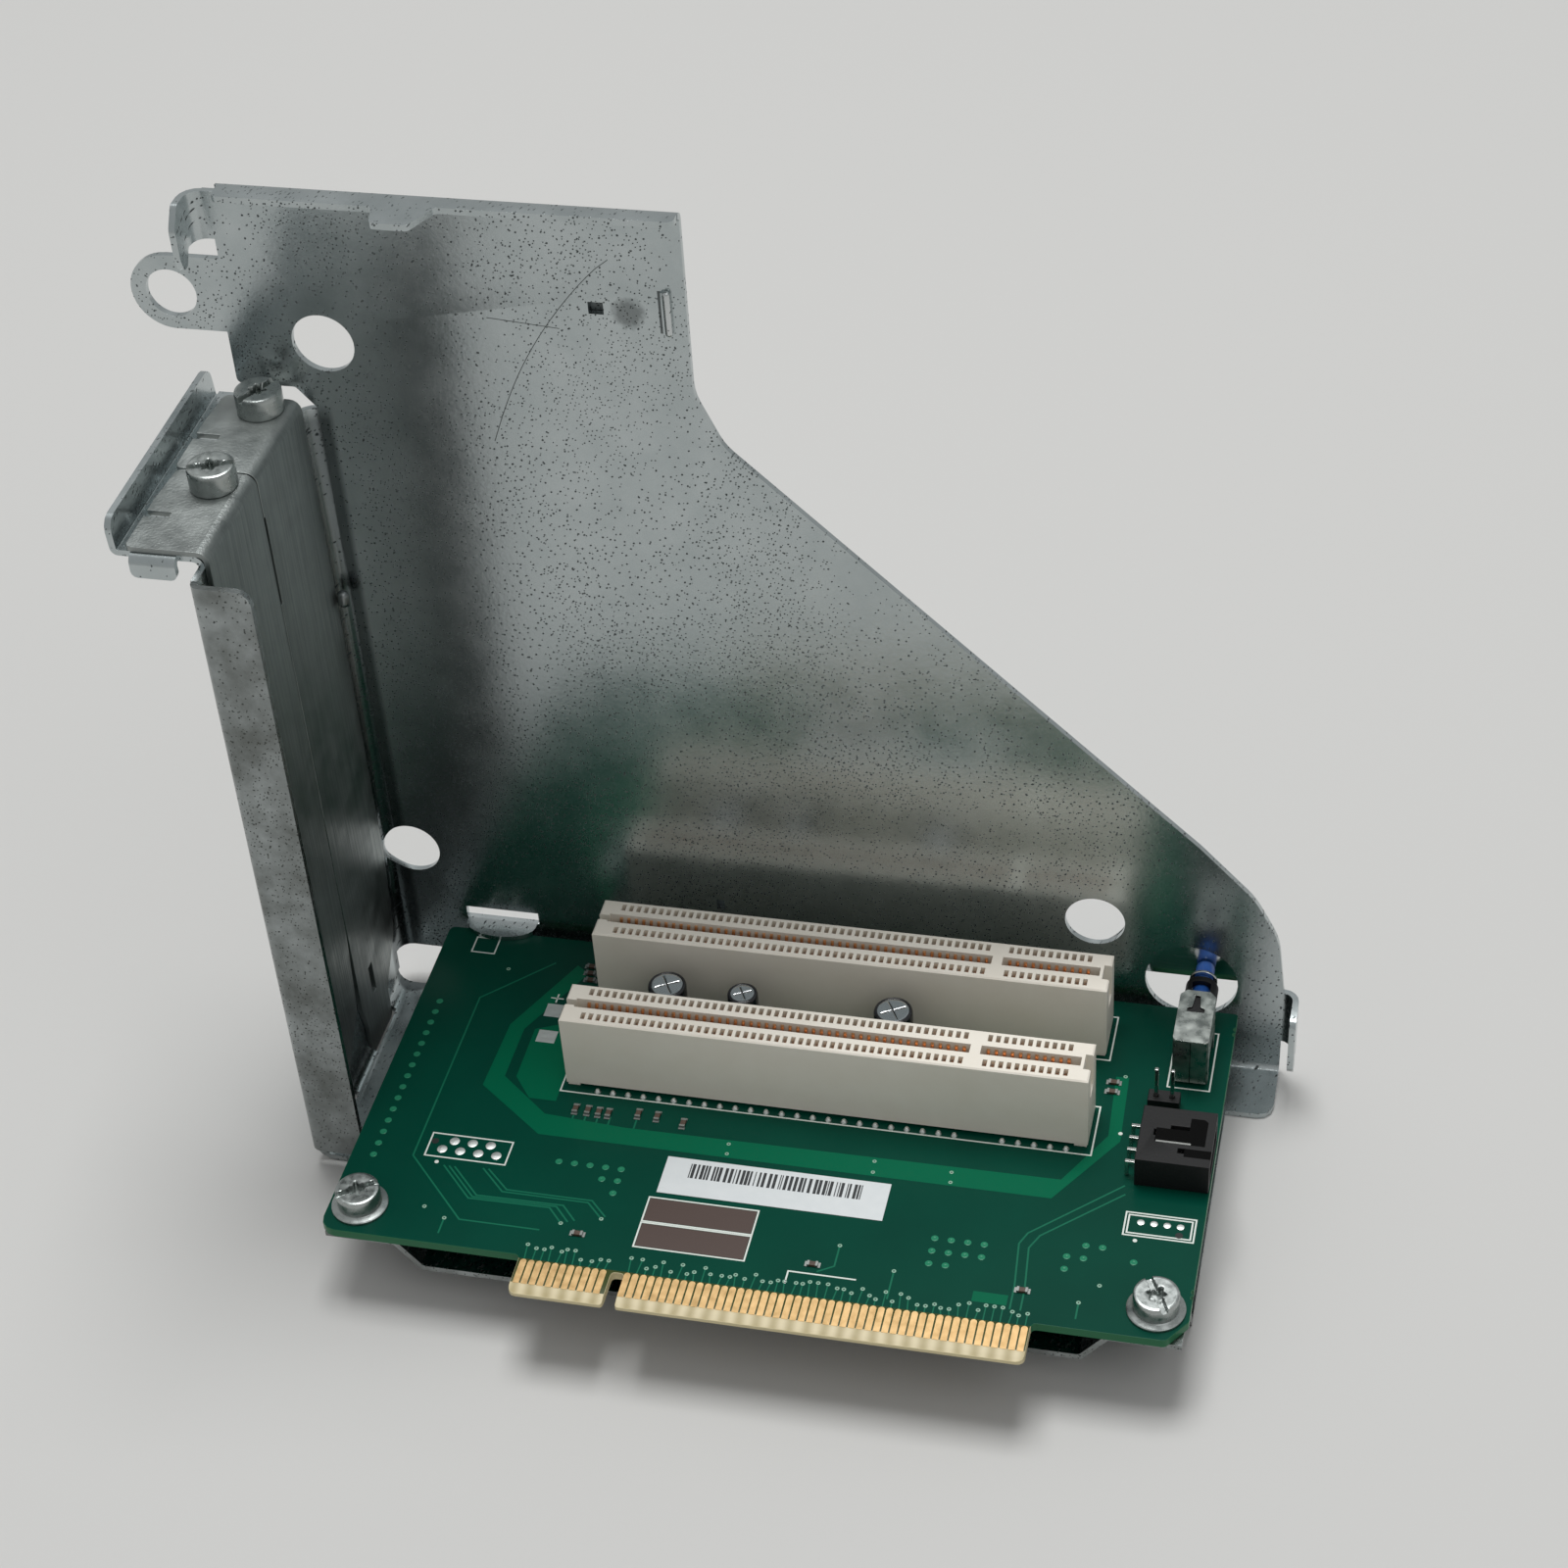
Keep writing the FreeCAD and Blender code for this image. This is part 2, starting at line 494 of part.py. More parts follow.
def audio_pins():
    pins = []
    for i in range(4):
        y = AUDIO_FIRST_Y + i * 2.54
        bar = box(AUDIO_LEFT - 1.7, AUDIO_RIGHT - 1.8, y - 0.3, y + 0.3, BOARD_TOP + 2.6, BOARD_TOP + 3.2)
        leg = box(AUDIO_LEFT - 1.7, AUDIO_LEFT - 1.1, y - 0.3, y + 0.3, BOARD_TOP + 0.02, BOARD_TOP + 3.0)
        pins.append(bar.fuse(leg).removeSplitter())
    return Part.makeCompound(pins)


def jumper_base():
    z0 = BOARD_TOP + 0.02
    base = box(JUMPER_LEFT, JUMPER_LEFT + 5.08, JUMPER_Y - 1.27, JUMPER_Y + 1.27, z0, z0 + 2.5)
    for i in range(2):
        x = JUMPER_LEFT + 1.27 + i * 2.54
        base = base.cut(box(x - 0.34, x + 0.34, JUMPER_Y - 0.34, JUMPER_Y + 0.34, z0 - 1, z0 + 4))
    return base


def jumper_pins():
    z0 = BOARD_TOP + 0.02
    pins = []
    for i in range(2):
        x = JUMPER_LEFT + 1.27 + i * 2.54
        pins.append(box(x - 0.32, x + 0.32, JUMPER_Y - 0.32, JUMPER_Y + 0.32, z0, z0 + 8.4))
    return Part.makeCompound(pins)


def switch_can():
    """Bent metal cover of the switch with an arrow shaped window in its top."""
    z0 = BOARD_TOP + 0.02
    z1 = BOARD_TOP + 10.0
    x0 = SWITCH_X - 2.85
    x1 = SWITCH_X + 2.85
    y0 = SWITCH_FRONT
    outline = [(x0, y0), (x1, y0), (x1, y0 + 10.6), (x1 - 1.0, y0 + 11.7), (x0 + 1.0, y0 + 11.7),
               (x0, y0 + 10.6)]
    can = slab_xy(rounded(outline, [0.9, 0.9, 0.2, 0.2, 0.2, 0.2]), z1 - 0.3, z1)
    for x in (x0, x1 - 0.3):
        side = slab_yz([(y0 + 0.9, z1 - 0.2), (y0 + 0.9, z0), (y0 + 2.1, z0), (y0 + 2.1, z0 + 4.4),
                        (y0 + 9.1, z0 + 4.4), (y0 + 9.1, z0), (y0 + 10.5, z0), (y0 + 10.5, z1 - 0.2)],
                       x, x + 0.3)
        can = can.fuse(side)
    window = slab_xy([(SWITCH_X - 0.4, y0 + 10.6), (SWITCH_X + 0.4, y0 + 10.6), (SWITCH_X + 0.65, y0 + 8.0),
                      (SWITCH_X + 1.4, y0 + 7.6), (SWITCH_X + 1.4, y0 + 6.8), (SWITCH_X - 1.4, y0 + 6.8),
                      (SWITCH_X - 1.4, y0 + 7.6), (SWITCH_X - 0.65, y0 + 8.0)], z1 - 1, z1 + 1)
    return can.cut(window).removeSplitter()


def switch_body():
    z0 = BOARD_TOP + 0.02
    z1 = BOARD_TOP + 9.65
    x0 = SWITCH_X - 2.5
    x1 = SWITCH_X + 2.5
    y0 = SWITCH_FRONT
    body = box(x0, x1, y0 + 0.4, y0 + 11.5, z0 + 0.5, z1)
    body = body.fuse(box(x0, x1, y0 + 1.1, y0 + 2.6, z0, z0 + 1))
    body = body.fuse(box(x0, x1, y0 + 8.6, y0 + 10.6, z0, z0 + 1))
    body = body.cut(prism(SWITCH_X, y0 + 5.1, SWITCH_AXIS_Z, PLUNGER_D / 2 + 0.2, 8, 28, True))
    return body.removeSplitter()


def switch_bushing():
    """Open collar that guides the plunger."""
    y0 = SWITCH_FRONT + 11.55
    ring = prism(SWITCH_X, y0, SWITCH_AXIS_Z, 2.65, 5.3, 28, True)
    ring = ring.cut(prism(SWITCH_X, y0 - 1, SWITCH_AXIS_Z, PLUNGER_D / 2 + 0.15, 9, 28, True))
    return ring.cut(box(SWITCH_X - 1.5, SWITCH_X + 1.5, y0 + 0.6, y0 + 4.2, SWITCH_AXIS_Z, SWITCH_AXIS_Z + 4))


def switch_plunger():
    """Blue pin whose rear end meets the leaf, with a thin ring in front of the plate."""
    y0 = SWITCH_FRONT + 8.2
    y1 = PLATE_FRONT + SHEET + 1.5
    stem = prism(SWITCH_X, y0, SWITCH_AXIS_Z, PLUNGER_D / 2, y1 - y0, 28, True)
    return stem.fuse(prism(SWITCH_X, y1 - 3.7, SWITCH_AXIS_Z, 2.3, 0.5, 28, True)).removeSplitter()


def sensor_leaf():
    """Polished leaf behind the plate, stepped away from it where it meets the plunger."""
    y0 = PLATE_FRONT + SHEET
    a = SWITCH_X - 27.05
    b = SWITCH_X - 16.25
    c = SWITCH_X - 12.85
    d = SWITCH_X + 6.45
    outline = [
        (a, y0 + 0.02), (a, y0 + 0.32), (b, y0 + 0.32), (c, y0 + 1.92), (d, y0 + 1.92),
        (d, y0 + 1.62), (c + 0.1, y0 + 1.62), (b + 0.2, y0 + 0.02),
    ]
    leaf = slab_xy(outline, 17.4, 27.4)
    x, z, r = PLATE_HOLES[2]
    return leaf.cut(rod(x, y0 - 1, z, r + 0.3, 6, V(0, 1, 0)))


def board_label():
    return box(-3.5, 32.4, -19.9, -12.2, BOARD_TOP + 0.02, BOARD_TOP + 0.12)


def chip_parts():
    """Small surface parts with plated ends."""
    right = HOUSING_RIGHT + 2.1
    spots = [(-20.8, -4.7, 90), (-18.75, -4.7, 90), (-16.9, -4.8, 90), (-15.3, -4.8, 90), (-10.5, -4.1, 90),
             (-7.35, -4.2, 90), (-2.9, -5.0, 90), (-26.9, 27.8, 0), (-26.7, 26.2, 0), (-26.3, 24.6, 0),
             (-13.4, -30.4, 0), (23.7, -30.3, 0), (55.8, -30.0, 0), (right, 15.2, 0), (right, 13.1, 0)]
    parts = []
    for x, y, turn in spots:
        long = 0.8 if turn == 0 else 0.42
        wide = 0.42 if turn == 0 else 0.8
        parts.append(box(x - long, x + long, y - wide, y + wide, BOARD_TOP + 0.02, BOARD_TOP + 0.47))
    return Part.makeCompound(parts)


def save(name, shape):
    shape.exportStep("parts/" + name + ".step")


os.makedirs("parts", exist_ok=True)
save("cage_frame", cage())
save("riser_board", riser_board())
save("edge_fingers_top", edge_fingers(BOARD_TOP + 0.005, BOARD_TOP + 0.05))
save("edge_fingers_bottom", edge_fingers(BOARD_TOP - BOARD_THICK - 0.05, BOARD_TOP - BOARD_THICK - 0.005))
for index, side in enumerate(["front", "rear"]):
    save("slot_cover_" + side, slot_cover(index))
    save("cover_screw_" + side, cover_screw(index))
    save("slot_housing_" + side, slot_housing(index))
    save("slot_contacts_" + side, slot_contacts(index))
for (x, y), side in zip(BOARD_SCREWS, ["left", "right"]):
    save("board_screw_" + side, board_screw(x, y))
save("capacitor_left", capacitor(-9.7, 6.3, 11.0))
save("capacitor_middle", capacitor(2.9, 5.0, 11.0))
save("capacitor_right", capacitor(27.7, 6.3, 11.0))
save("audio_shroud", audio_shroud())
save("audio_pins", audio_pins())
save("jumper_base", jumper_base())
save("jumper_pins", jumper_pins())
save("switch_can", switch_can())
save("switch_body", switch_body())
save("switch_bushing", switch_bushing())
save("switch_plunger", switch_plunger())
save("sensor_leaf", sensor_leaf())
save("board_label", board_label())
save("chip_parts", chip_parts())
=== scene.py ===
"""Riser cage bracket: the finish of every piece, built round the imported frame.

Lengths typed here are millimetres and become metres when a mesh is made. Numbers that a material
reads are metres. X runs along the card slots, Y from the finger edge to the big plate, Z up from
the underside of the base.
"""
import math

import bpy
import numpy as np
from mathutils import Matrix, Vector


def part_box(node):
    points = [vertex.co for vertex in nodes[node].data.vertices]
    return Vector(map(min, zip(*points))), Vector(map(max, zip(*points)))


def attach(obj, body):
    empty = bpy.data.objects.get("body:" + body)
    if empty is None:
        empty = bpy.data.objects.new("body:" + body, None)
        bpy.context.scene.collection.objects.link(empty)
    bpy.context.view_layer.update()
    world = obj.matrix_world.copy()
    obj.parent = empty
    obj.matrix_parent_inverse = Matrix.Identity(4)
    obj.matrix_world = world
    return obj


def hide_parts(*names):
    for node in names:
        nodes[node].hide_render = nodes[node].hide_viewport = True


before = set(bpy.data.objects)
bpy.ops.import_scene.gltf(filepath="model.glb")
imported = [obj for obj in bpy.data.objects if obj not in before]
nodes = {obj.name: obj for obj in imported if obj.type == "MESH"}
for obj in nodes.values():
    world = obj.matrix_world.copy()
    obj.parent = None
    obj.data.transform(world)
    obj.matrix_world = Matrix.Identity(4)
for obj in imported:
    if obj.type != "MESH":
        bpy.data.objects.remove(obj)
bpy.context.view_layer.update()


# Stage. A plain pale bench top under soft ceiling light, seen from in front and above. The
# camera stands where the pitch of the contacts puts it.

def linear(colour):
    """sRGB hex to linear: (c / 12.92) below 0.04045, else ((c + 0.055) / 1.055) to the 2.4."""
    value = np.array([int(colour[i:i + 2], 16) for i in (1, 3, 5)]) / 255
    out = np.where(value <= 0.04045, value / 12.92, ((value + 0.055) / 1.055) ** 2.4)
    return (*out.tolist(), 1.0)


def node(material, kind, inputs=None, **settings):
    """Adds a node. A tuple (node, output) in inputs is a link, anything else a plain value. An
    input goes by its name or its place: a MapRange has value, from min, from max, to min, to max
    and a Mix of colours has share 0, first 6, second 7."""
    made = material.node_tree.nodes.new("ShaderNode" + kind)
    for key, value in settings.items():
        setattr(made, key, value)
    for key, value in (inputs or {}).items():
        if isinstance(value, tuple) and isinstance(value[0], bpy.types.Node):
            material.node_tree.links.new(value[0].outputs[value[1]], made.inputs[key])
        else:
            made.inputs[key].default_value = value
    return made


def wire(material, source, target):
    """Links (node, output) to (node, input)."""
    material.node_tree.links.new(source[0].outputs[source[1]], target[0].inputs[target[1]])


def shader(name, colour, roughness, metallic=0.0, **more):
    """A material whose Principled shader starts from these plain values."""
    material = bpy.data.materials.new(name)
    material.use_nodes = True
    main = material.node_tree.nodes["Principled BSDF"]
    main.inputs["Base Color"].default_value = linear(colour)
    main.inputs["Roughness"].default_value = roughness
    main.inputs["Metallic"].default_value = metallic
    for key, value in more.items():
        main.inputs[key.replace("_", " ")].default_value = value
    return material, main


def finish(name, colour, roughness, metallic=0.0, cells=None, detail=2.0, tones=None, rough=None,
           relief=None, **more):
    """A shader varied by one noise with that many cells in a metre: its colour goes from one of
    the tones to the other, its roughness between two values, and relief is the strength and the
    depth of a bump. With no cells it is one plain tone."""
    material, main = shader(name, colour, roughness, metallic, **more)
    if not cells:
        return material
    place = node(material, "TexCoord")
    grain = node(material, "TexNoise", {"Vector": (place, "Object"), "Scale": cells,
                                        "Detail": detail})
    if tones:
        tone = node(material, "Mix", {0: (grain, "Fac"), 6: linear(tones[0]), 7: linear(tones[1])},
                    data_type="RGBA")
        wire(material, (tone, 2), (main, "Base Color"))
    if rough:
        worn = node(material, "MapRange", {0: (grain, "Fac"), 1: 0.3, 2: 0.7, 3: rough[0],
                                           4: rough[1]})
        wire(material, (worn, 0), (main, "Roughness"))
    if relief:
        dent = node(material, "Bump", {"Height": (grain, "Fac"), "Strength": relief[0],
                                       "Distance": relief[1]})
        wire(material, (dent, "Normal"), (main, "Normal"))
    return material


def piece(name, points, faces, material, smooth=False):
    """A mesh from points in millimetres and faces, in place, its object at the origin."""
    mesh = bpy.data.meshes.new(name)
    mesh.from_pydata((np.asarray(points, float).reshape(-1, 3) / 1000).tolist(), [], faces)
    mesh.materials.append(material)
    mesh.polygons.foreach_set("use_smooth", np.full(len(mesh.polygons), smooth))
    mesh.update()
    made = bpy.data.objects.new(name, mesh)
    bpy.context.scene.collection.objects.link(made)
    return made


def grid_faces(rows, columns, round_u=False, round_v=False):
    """Quads that join point (i, j) of a grid to (i + 1, j), (i + 1, j + 1) and (i, j + 1)."""
    i, j = np.meshgrid(np.arange(rows if round_u else rows - 1),
                       np.arange(columns if round_v else columns - 1), indexing="ij")
    a, b = (i + 1) % rows, (j + 1) % columns
    quads = np.stack([i * columns + j, a * columns + j, a * columns + b, i * columns + b], -1)
    return quads.reshape(-1, 4).tolist()


BENCH = "#cbcbc9"
# Matt laminate: a faint grain of 4 mm breaks up the shadows' edges a little.
bench_paint = finish("bench_matt_laminate", BENCH, 0.62, cells=260.0, detail=3.0,
                     relief=(0.08, 0.0004))
u, v = np.meshgrid(np.linspace(-2600, 2600, 9), np.linspace(-2200, 3000, 9), indexing="ij")
bench = piece("bench", np.stack([u, v, np.full_like(u, -0.05)], -1), grid_faces(9, 9), bench_paint)

FOCAL_PIXELS, FRAME_PIXELS = 3205.146, 1600
camera = bpy.data.cameras.new("camera")
camera.sensor_width = 36
camera.lens = 36 * FOCAL_PIXELS / FRAME_PIXELS
camera.clip_start = 0.01
camera_object = bpy.data.objects.new("camera", camera)
right = Vector((0.9744682, 0.21732903, -0.05638996))
down = Vector((0.09810403, -0.63804465, -0.76372418))
ahead = Vector((-0.20195875, 0.73869284, -0.64307508))
camera_object.matrix_world = Matrix((
    (right.x, -down.x, -ahead.x, 0.1085933),
    (right.y, -down.y, -ahead.y, -0.3368289),
    (right.z, -down.z, -ahead.z, 0.3767640),
    (0, 0, 0, 1),
))
bpy.context.scene.collection.objects.link(camera_object)
bpy.context.scene.camera = camera_object
bpy.context.scene.view_settings.view_transform = "Standard"


def lamp(name, place, size, watts):
    """A square soft light at place that looks at the board, all in metres."""
    light = bpy.data.lights.new(name, "AREA")
    light.size = size
    light.energy = watts
    made = bpy.data.objects.new(name, light)
    made.location = place
    made.rotation_mode = "QUATERNION"
    aim = Vector((0.0, 0.0, 0.05)) - Vector(place)
    made.rotation_quaternion = aim.to_track_quat("-Z", "Y")
    bpy.context.scene.collection.objects.link(made)


lamp("ceiling_light", (-0.10, 0.42, 1.75), 0.8, 21.0)
lamp("room_light", (0.9, -0.9, 1.5), 1.2, 3.0)

WALLS, MIRRORED_WALLS = (0.36, 0.36, 0.36, 1.0), (0.40, 0.41, 0.41, 1.0)
world = bpy.data.worlds.new("world")
bpy.context.scene.world = world
world.use_nodes = True
sky = world.node_tree.nodes["Background"]
sky.inputs["Strength"].default_value = 1.0
path = node(world, "LightPath")
seen = node(world, "Math", {0: (path, "Is Camera Ray"), 1: (path, "Is Transmission Ray")},
            operation="MAXIMUM")
shade = node(world, "Mix", {0: (seen, "Value"), 6: WALLS, 7: linear(BENCH)}, data_type="RGBA")
glossy = node(world, "Mix", {0: (path, "Is Glossy Ray"), 6: (shade, 2), 7: MIRRORED_WALLS},
              data_type="RGBA")
wire(world, (glossy, 2), (sky, "Color"))


# Cage. One folded sheet of 1 mm galvanised steel, blanked, bent and left unpainted. The zinc is
# dull grey with pale clouds, and storage has left it full of fine dark pits.

PLATE_FACE = 0.0358  # front face of the big plate, metres
INNER_BEND = (-0.0619, 0.0333, 0.0)  # upright line on which the wall bends into the plate


def pits(material, place, net, size, share, seed):
    """Dark pits: a round dot of size mm in a share of the cells of a net mm voronoi net."""
    cell = node(material, "TexVoronoi", {"Vector": place, "Scale": 1000.0 / net},
                voronoi_dimensions="2D")
    warp = node(material, "TexNoise", {"Vector": place, "Scale": 2600.0, "Detail": 1.0})
    ragged = node(material, "Math", {0: (warp, "Fac"), 1: 0.9 * size / net, 2: (cell, "Distance")},
                  operation="MULTIPLY_ADD")
    dot = node(material, "MapRange", {0: (ragged, 0), 1: 0.75 * size / net, 2: 1.15 * size / net,
                                      3: 1.0, 4: 0.0})
    wide = node(material, "TexNoise", {"Vector": place, "Scale": 26.0 + seed, "Detail": 2.0})
    some = node(material, "MapRange", {0: (wide, "Fac"), 1: 0.36, 2: 0.62, 3: 0.15 * share,
                                       4: share})
    split = node(material, "SeparateColor", {"Color": (cell, "Color")})
    keep = node(material, "Math", {0: (split, "Red"), 1: (some, 0)}, operation="LESS_THAN")
    return node(material, "Math", {0: (dot, 0), 1: (keep, 0)}, operation="MULTIPLY")


def zinc(name, colour, pale, roughness, share, stain=None):
    """Zinc on steel: clouds about 9 mm across, two sizes of pits, a front rail darkened partly by a
    duller patina and partly by painted shade, painted shade in the inner bend and, where told,
    one rubbed stain given as x, y, z and radius."""
    material, main = shader(name, colour, roughness, 1.0)
    here = (node(material, "TexCoord"), "Object")
    cloud = node(material, "TexNoise", {"Vector": here, "Scale": 110.0, "Detail": 5.0,
                                        "Roughness": 0.65})
    grain = node(material, "TexNoise", {"Vector": here, "Scale": 1500.0, "Detail": 2.0})
    body = node(material, "MapRange", {0: (cloud, "Fac"), 1: 0.35, 2: 0.68})
    tone = node(material, "Mix", {0: (body, 0), 6: linear(colour), 7: linear(pale)},
                data_type="RGBA")
    # The net of the pits is tilted, so that it cuts across every flat side of the sheet.
    tilt = Vector((0.35, 0.85, 0.40)).rotation_difference(Vector((0, 0, 1))).to_euler()
    turned = node(material, "Mapping", {"Vector": here, "Rotation": tilt})
    coarse = pits(material, (turned, "Vector"), 1.15, 0.27, share, 3)
    small = pits(material, (turned, "Vector"), 0.6, 0.19, 0.9 * share, 11)
    pit = node(material, "Math", {0: (coarse, 0), 1: (small, 0)}, operation="MAXIMUM")
    faded = node(material, "Math", {0: (pit, 0), 1: 0.85}, operation="MULTIPLY")
    layers = [(faded, "#2b3030")]
    if stain:
        away = node(material, "VectorMath", {0: here, 1: stain[:3]}, operation="DISTANCE")
        ragged = node(material, "Math", {0: (grain, "Fac"), 1: 0.0016, 2: (away, "Value")},
                      operation="MULTIPLY_ADD")
        inside = node(material, "MapRange", {0: (ragged, 0), 1: stain[3], 2: stain[3] + 0.0012,
                                             3: 0.6, 4: 0.0})
        layers.append((inside, "#4a4e4e"))
    # The front rail is darker and more mottled than the rest: partly a duller patina, partly
    # painted shade, as it faces the front, away from the light.
    axes = node(material, "SeparateXYZ", {"Vector": here})
    front = node(material, "MapRange", {0: (axes, "Y"), 1: -0.0098, 2: -0.0086, 3: 1.0, 4: 0.0})
    worn = node(material, "MapRange", {0: (cloud, "Fac"), 1: 0.32, 2: 0.66, 3: 0.85, 4: 0.40})
    dull = node(material, "Math", {0: (front, 0), 1: (worn, 0)}, operation="MULTIPLY")
    layers.append((dull, "#5a5c58"))
    # Painted shade: the inner bend below the shelf is darkened where its fillet would otherwise
    # shine.
    level = node(material, "Mapping", {"Vector": here, "Scale": (1.0, 1.0, 0.0)})
    off_bend = node(material, "VectorMath", {0: (level, "Vector"), 1: INNER_BEND},
                    operation="DISTANCE")
    near = node(material, "MapRange", {0: (off_bend, "Value"), 1: 0.0028, 2: 0.0034, 3: 0.7,
                                       4: 0.0})
    low_part = node(material, "MapRange", {0: (axes, "Z"), 1: 0.116, 2: 0.119, 3: 1.0, 4: 0.0})
    bend_painted_shade = node(material, "Math", {0: (near, 0), 1: (low_part, 0)}, operation="MULTIPLY")
    layers.append((bend_painted_shade, "#30383a"))
    for cover, dark in layers:
        tone = node(material, "Mix", {0: (cover, 0), 6: (tone, 2), 7: linear(dark)},
                    data_type="RGBA")
    wire(material, (tone, 2), (main, "Base Color"))
    rough = node(material, "MapRange", {0: (cloud, "Fac"), 1: 0.3, 2: 0.7, 3: roughness - 0.02,
                                        4: roughness + 0.04})
    pitted = node(material, "Math", {0: (pit, 0), 1: 0.4, 2: (rough, 0)},
                  operation="MULTIPLY_ADD")
    wire(material, (pitted, 0), (main, "Roughness"))
    dent = node(material, "Bump", {"Height": (grain, "Fac"), "Strength": 0.10,
                                   "Distance": 0.00012})
    wire(material, (dent, "Normal"), (main, "Normal"))
    return material


def fasten(made, body="frame", instead=None):
    """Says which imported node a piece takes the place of, which body it rides."""
    if instead:
        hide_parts(instead)
    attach(made, body)


def softened(name, width, material, steps=2):
    """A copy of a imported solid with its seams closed, its flat faces joined and its edges
    rounded by width mm, so that they catch light as moulded, bent and stamped edges do."""
    made = nodes[name].copy()
    made.data = nodes[name].data.copy()
    made.name = name + "_finish"
    bpy.context.scene.collection.objects.link(made)
    made.data.materials.clear()
    made.data.materials.append(material)
    bpy.ops.object.select_all(action="DESELECT")
    bpy.context.view_layer.objects.active = made
    made.select_set(True)
    bpy.ops.object.mode_set(mode="EDIT")
    bpy.ops.mesh.select_all(action="SELECT")
    bpy.ops.mesh.remove_doubles(threshold=1e-6)
    bpy.ops.mesh.dissolve_limited(angle_limit=math.radians(1.0))
    bpy.ops.object.mode_set(mode="OBJECT")
    bevel = made.modifiers.new("soft_edges", "BEVEL")
    bevel.width = width / 1000
    bevel.segments = steps
    bevel.limit_method = "ANGLE"
    bevel.angle_limit = math.radians(38)
    bevel.use_clamp_overlap = True
    bevel.harden_normals = True
    bpy.ops.object.shade_smooth_by_angle(angle=math.radians(38))
    made.select_set(False)
    fasten(made, instead=name)


# Bare sheet, edges rubbed bright where tools pressed them, and a dark zinc that paints the shade
# where little light reaches.
sheet_zinc = zinc("galvanised_sheet", "#b5bdbe", "#c3cacb", 0.23, 0.66,
                  (-0.0113, PLATE_FACE, 0.1388, 0.0025))
edge_zinc = zinc("rubbed_zinc_edge", "#c9cdcd", "#dadddd", 0.26, 0.1)
shade_zinc = zinc("painted_shade_zinc", "#5d6263", "#777c7c", 0.4, 0.4)
scratch_steel = finish("scratched_zinc", "#6d7272", 0.5, 1.0)
softened("cage_frame", 0.2, sheet_zinc)


def strip(name, runs, width, low, high, material):
    """Flat strips along runs of points: each side is the run moved by half the width along the
    mitre, n = (n1 + n2) / (1 + n1.n2), and each end is closed."""
    points, faces, start = [], [], 0
    for run in runs:
        run = np.asarray(run, float)
        step = np.diff(run, axis=0)
        step /= np.linalg.norm(step, axis=1, keepdims=True)
        side = np.stack([-step[:, 1], step[:, 0]], -1)
        before, after = np.vstack([side[:1], side]), np.vstack([side, side[-1:]])
        mitre = (before + after) / (1 + (before * after).sum(1, keepdims=True))
        a, b = run - mitre * width / 2, run + mitre * width / 2
        count = len(run)
        floor, roof = np.full(count, low), np.full(count, high)
        ring = np.stack([np.c_[a, floor], np.c_[a, roof], np.c_[b, roof], np.c_[b, floor]], 1)
        points.append(ring.reshape(-1, 3))
        faces += (np.array(grid_faces(count, 4, round_v=True))[:, ::-1] + start).tolist()
        faces += [[start, start + 1, start + 2, start + 3],
                  [start + count * 4 - k for k in (1, 2, 3, 4)]]
        start += count * 4
    return piece(name, np.vstack(points), faces, material)


def upright(made, front):
    """Turns a strip drawn on X and Z, thickness towards the viewer, so that it stands at Y =
    front, in metres: (x, y, z) goes to (x, front - z, y)."""
    co = np.empty(len(made.data.vertices) * 3)
    made.data.vertices.foreach_get("co", co)
    co = co.reshape(-1, 3)
    turned = np.stack([co[:, 0], front - co[:, 2], co[:, 1]], -1)
    made.data.vertices.foreach_set("co", turned.ravel())
    made.data.update()


t = np.linspace(0, 1, 22)
curve = np.stack([-13.6 - 20.7 * t ** 0.82 - 1.6 * np.sin(np.pi * t), 147.5 - 32.8 * t], -1)
scratch = strip("plate_scratch", [curve, [(-33.0, 136.4), (-22.0, 135.4)]], 0.13, -0.004, 0.004,
                scratch_steel)
# Painted shade: a dark zinc strip beside the pressed bead, and dark zinc tabs behind the two small
# holes that show as shade through them.
bead_shade = strip("bead_painted_shade", [[(-6.3, 135.8), (-6.3, 142.9)]], 0.8, -0.02, 0.012, shade_zinc)
tab_square = strip("tab_behind_square_hole", [[(-18.2, 139.3), (-14.2, 139.3)]], 3.4, -1.75,
                   -1.15, shade_zinc)
tab_round = strip("tab_behind_low_hole", [[(-7.6, 24.4), (-3.8, 24.4)]], 4.2, -1.75, -1.15,
                  shade_zinc)
for made in (scratch, bead_shade, tab_square, tab_round):
    upright(made, PLATE_FACE)
    fasten(made)


def capsule(name, start, end, radius, material):
    """Round ended bar that stands between two points: a half circle of radius sin(pi v) at each
    end, turned about the upright line."""
    v = np.concatenate([np.linspace(0, 0.5, 7), np.linspace(0.5, 1, 7)])
    rise = np.where(np.arange(14) < 7, start[2], end[2]) - radius * np.cos(np.pi * v)
    swell = radius * np.sin(np.pi * v)
    angle = np.linspace(0, 2 * np.pi, 16, endpoint=False)
    ring = np.stack([start[0] + swell[:, None] * np.cos(angle),
                     start[1] + swell[:, None] * np.sin(angle),
                     np.repeat(rise[:, None], 16, 1)], -1)
    return piece(name, ring, grid_faces(14, 16, round_v=True), material, True)


bead = capsule("pressed_bead", (-5.3, 35.45, 136.2), (-5.3, 35.45, 142.6), 0.6, edge_zinc)
nub = capsule("wall_nub", (-62.35, 33.3, 83.3), (-62.35, 33.3, 84.5), 0.95, edge_zinc)
for made in (bead, nub):
    fasten(made)


# Slot covers. Two blank covers stamped from 0.86 mm steel, plated and brushed along their length,
# hooked into the base and held on the shelf by a screw. Their tabs are duller than their faces.

cover_steel, main = shader("brushed_cover_steel", "#7d8483", 0.30, 1.0)
here = (node(cover_steel, "TexCoord"), "Object")
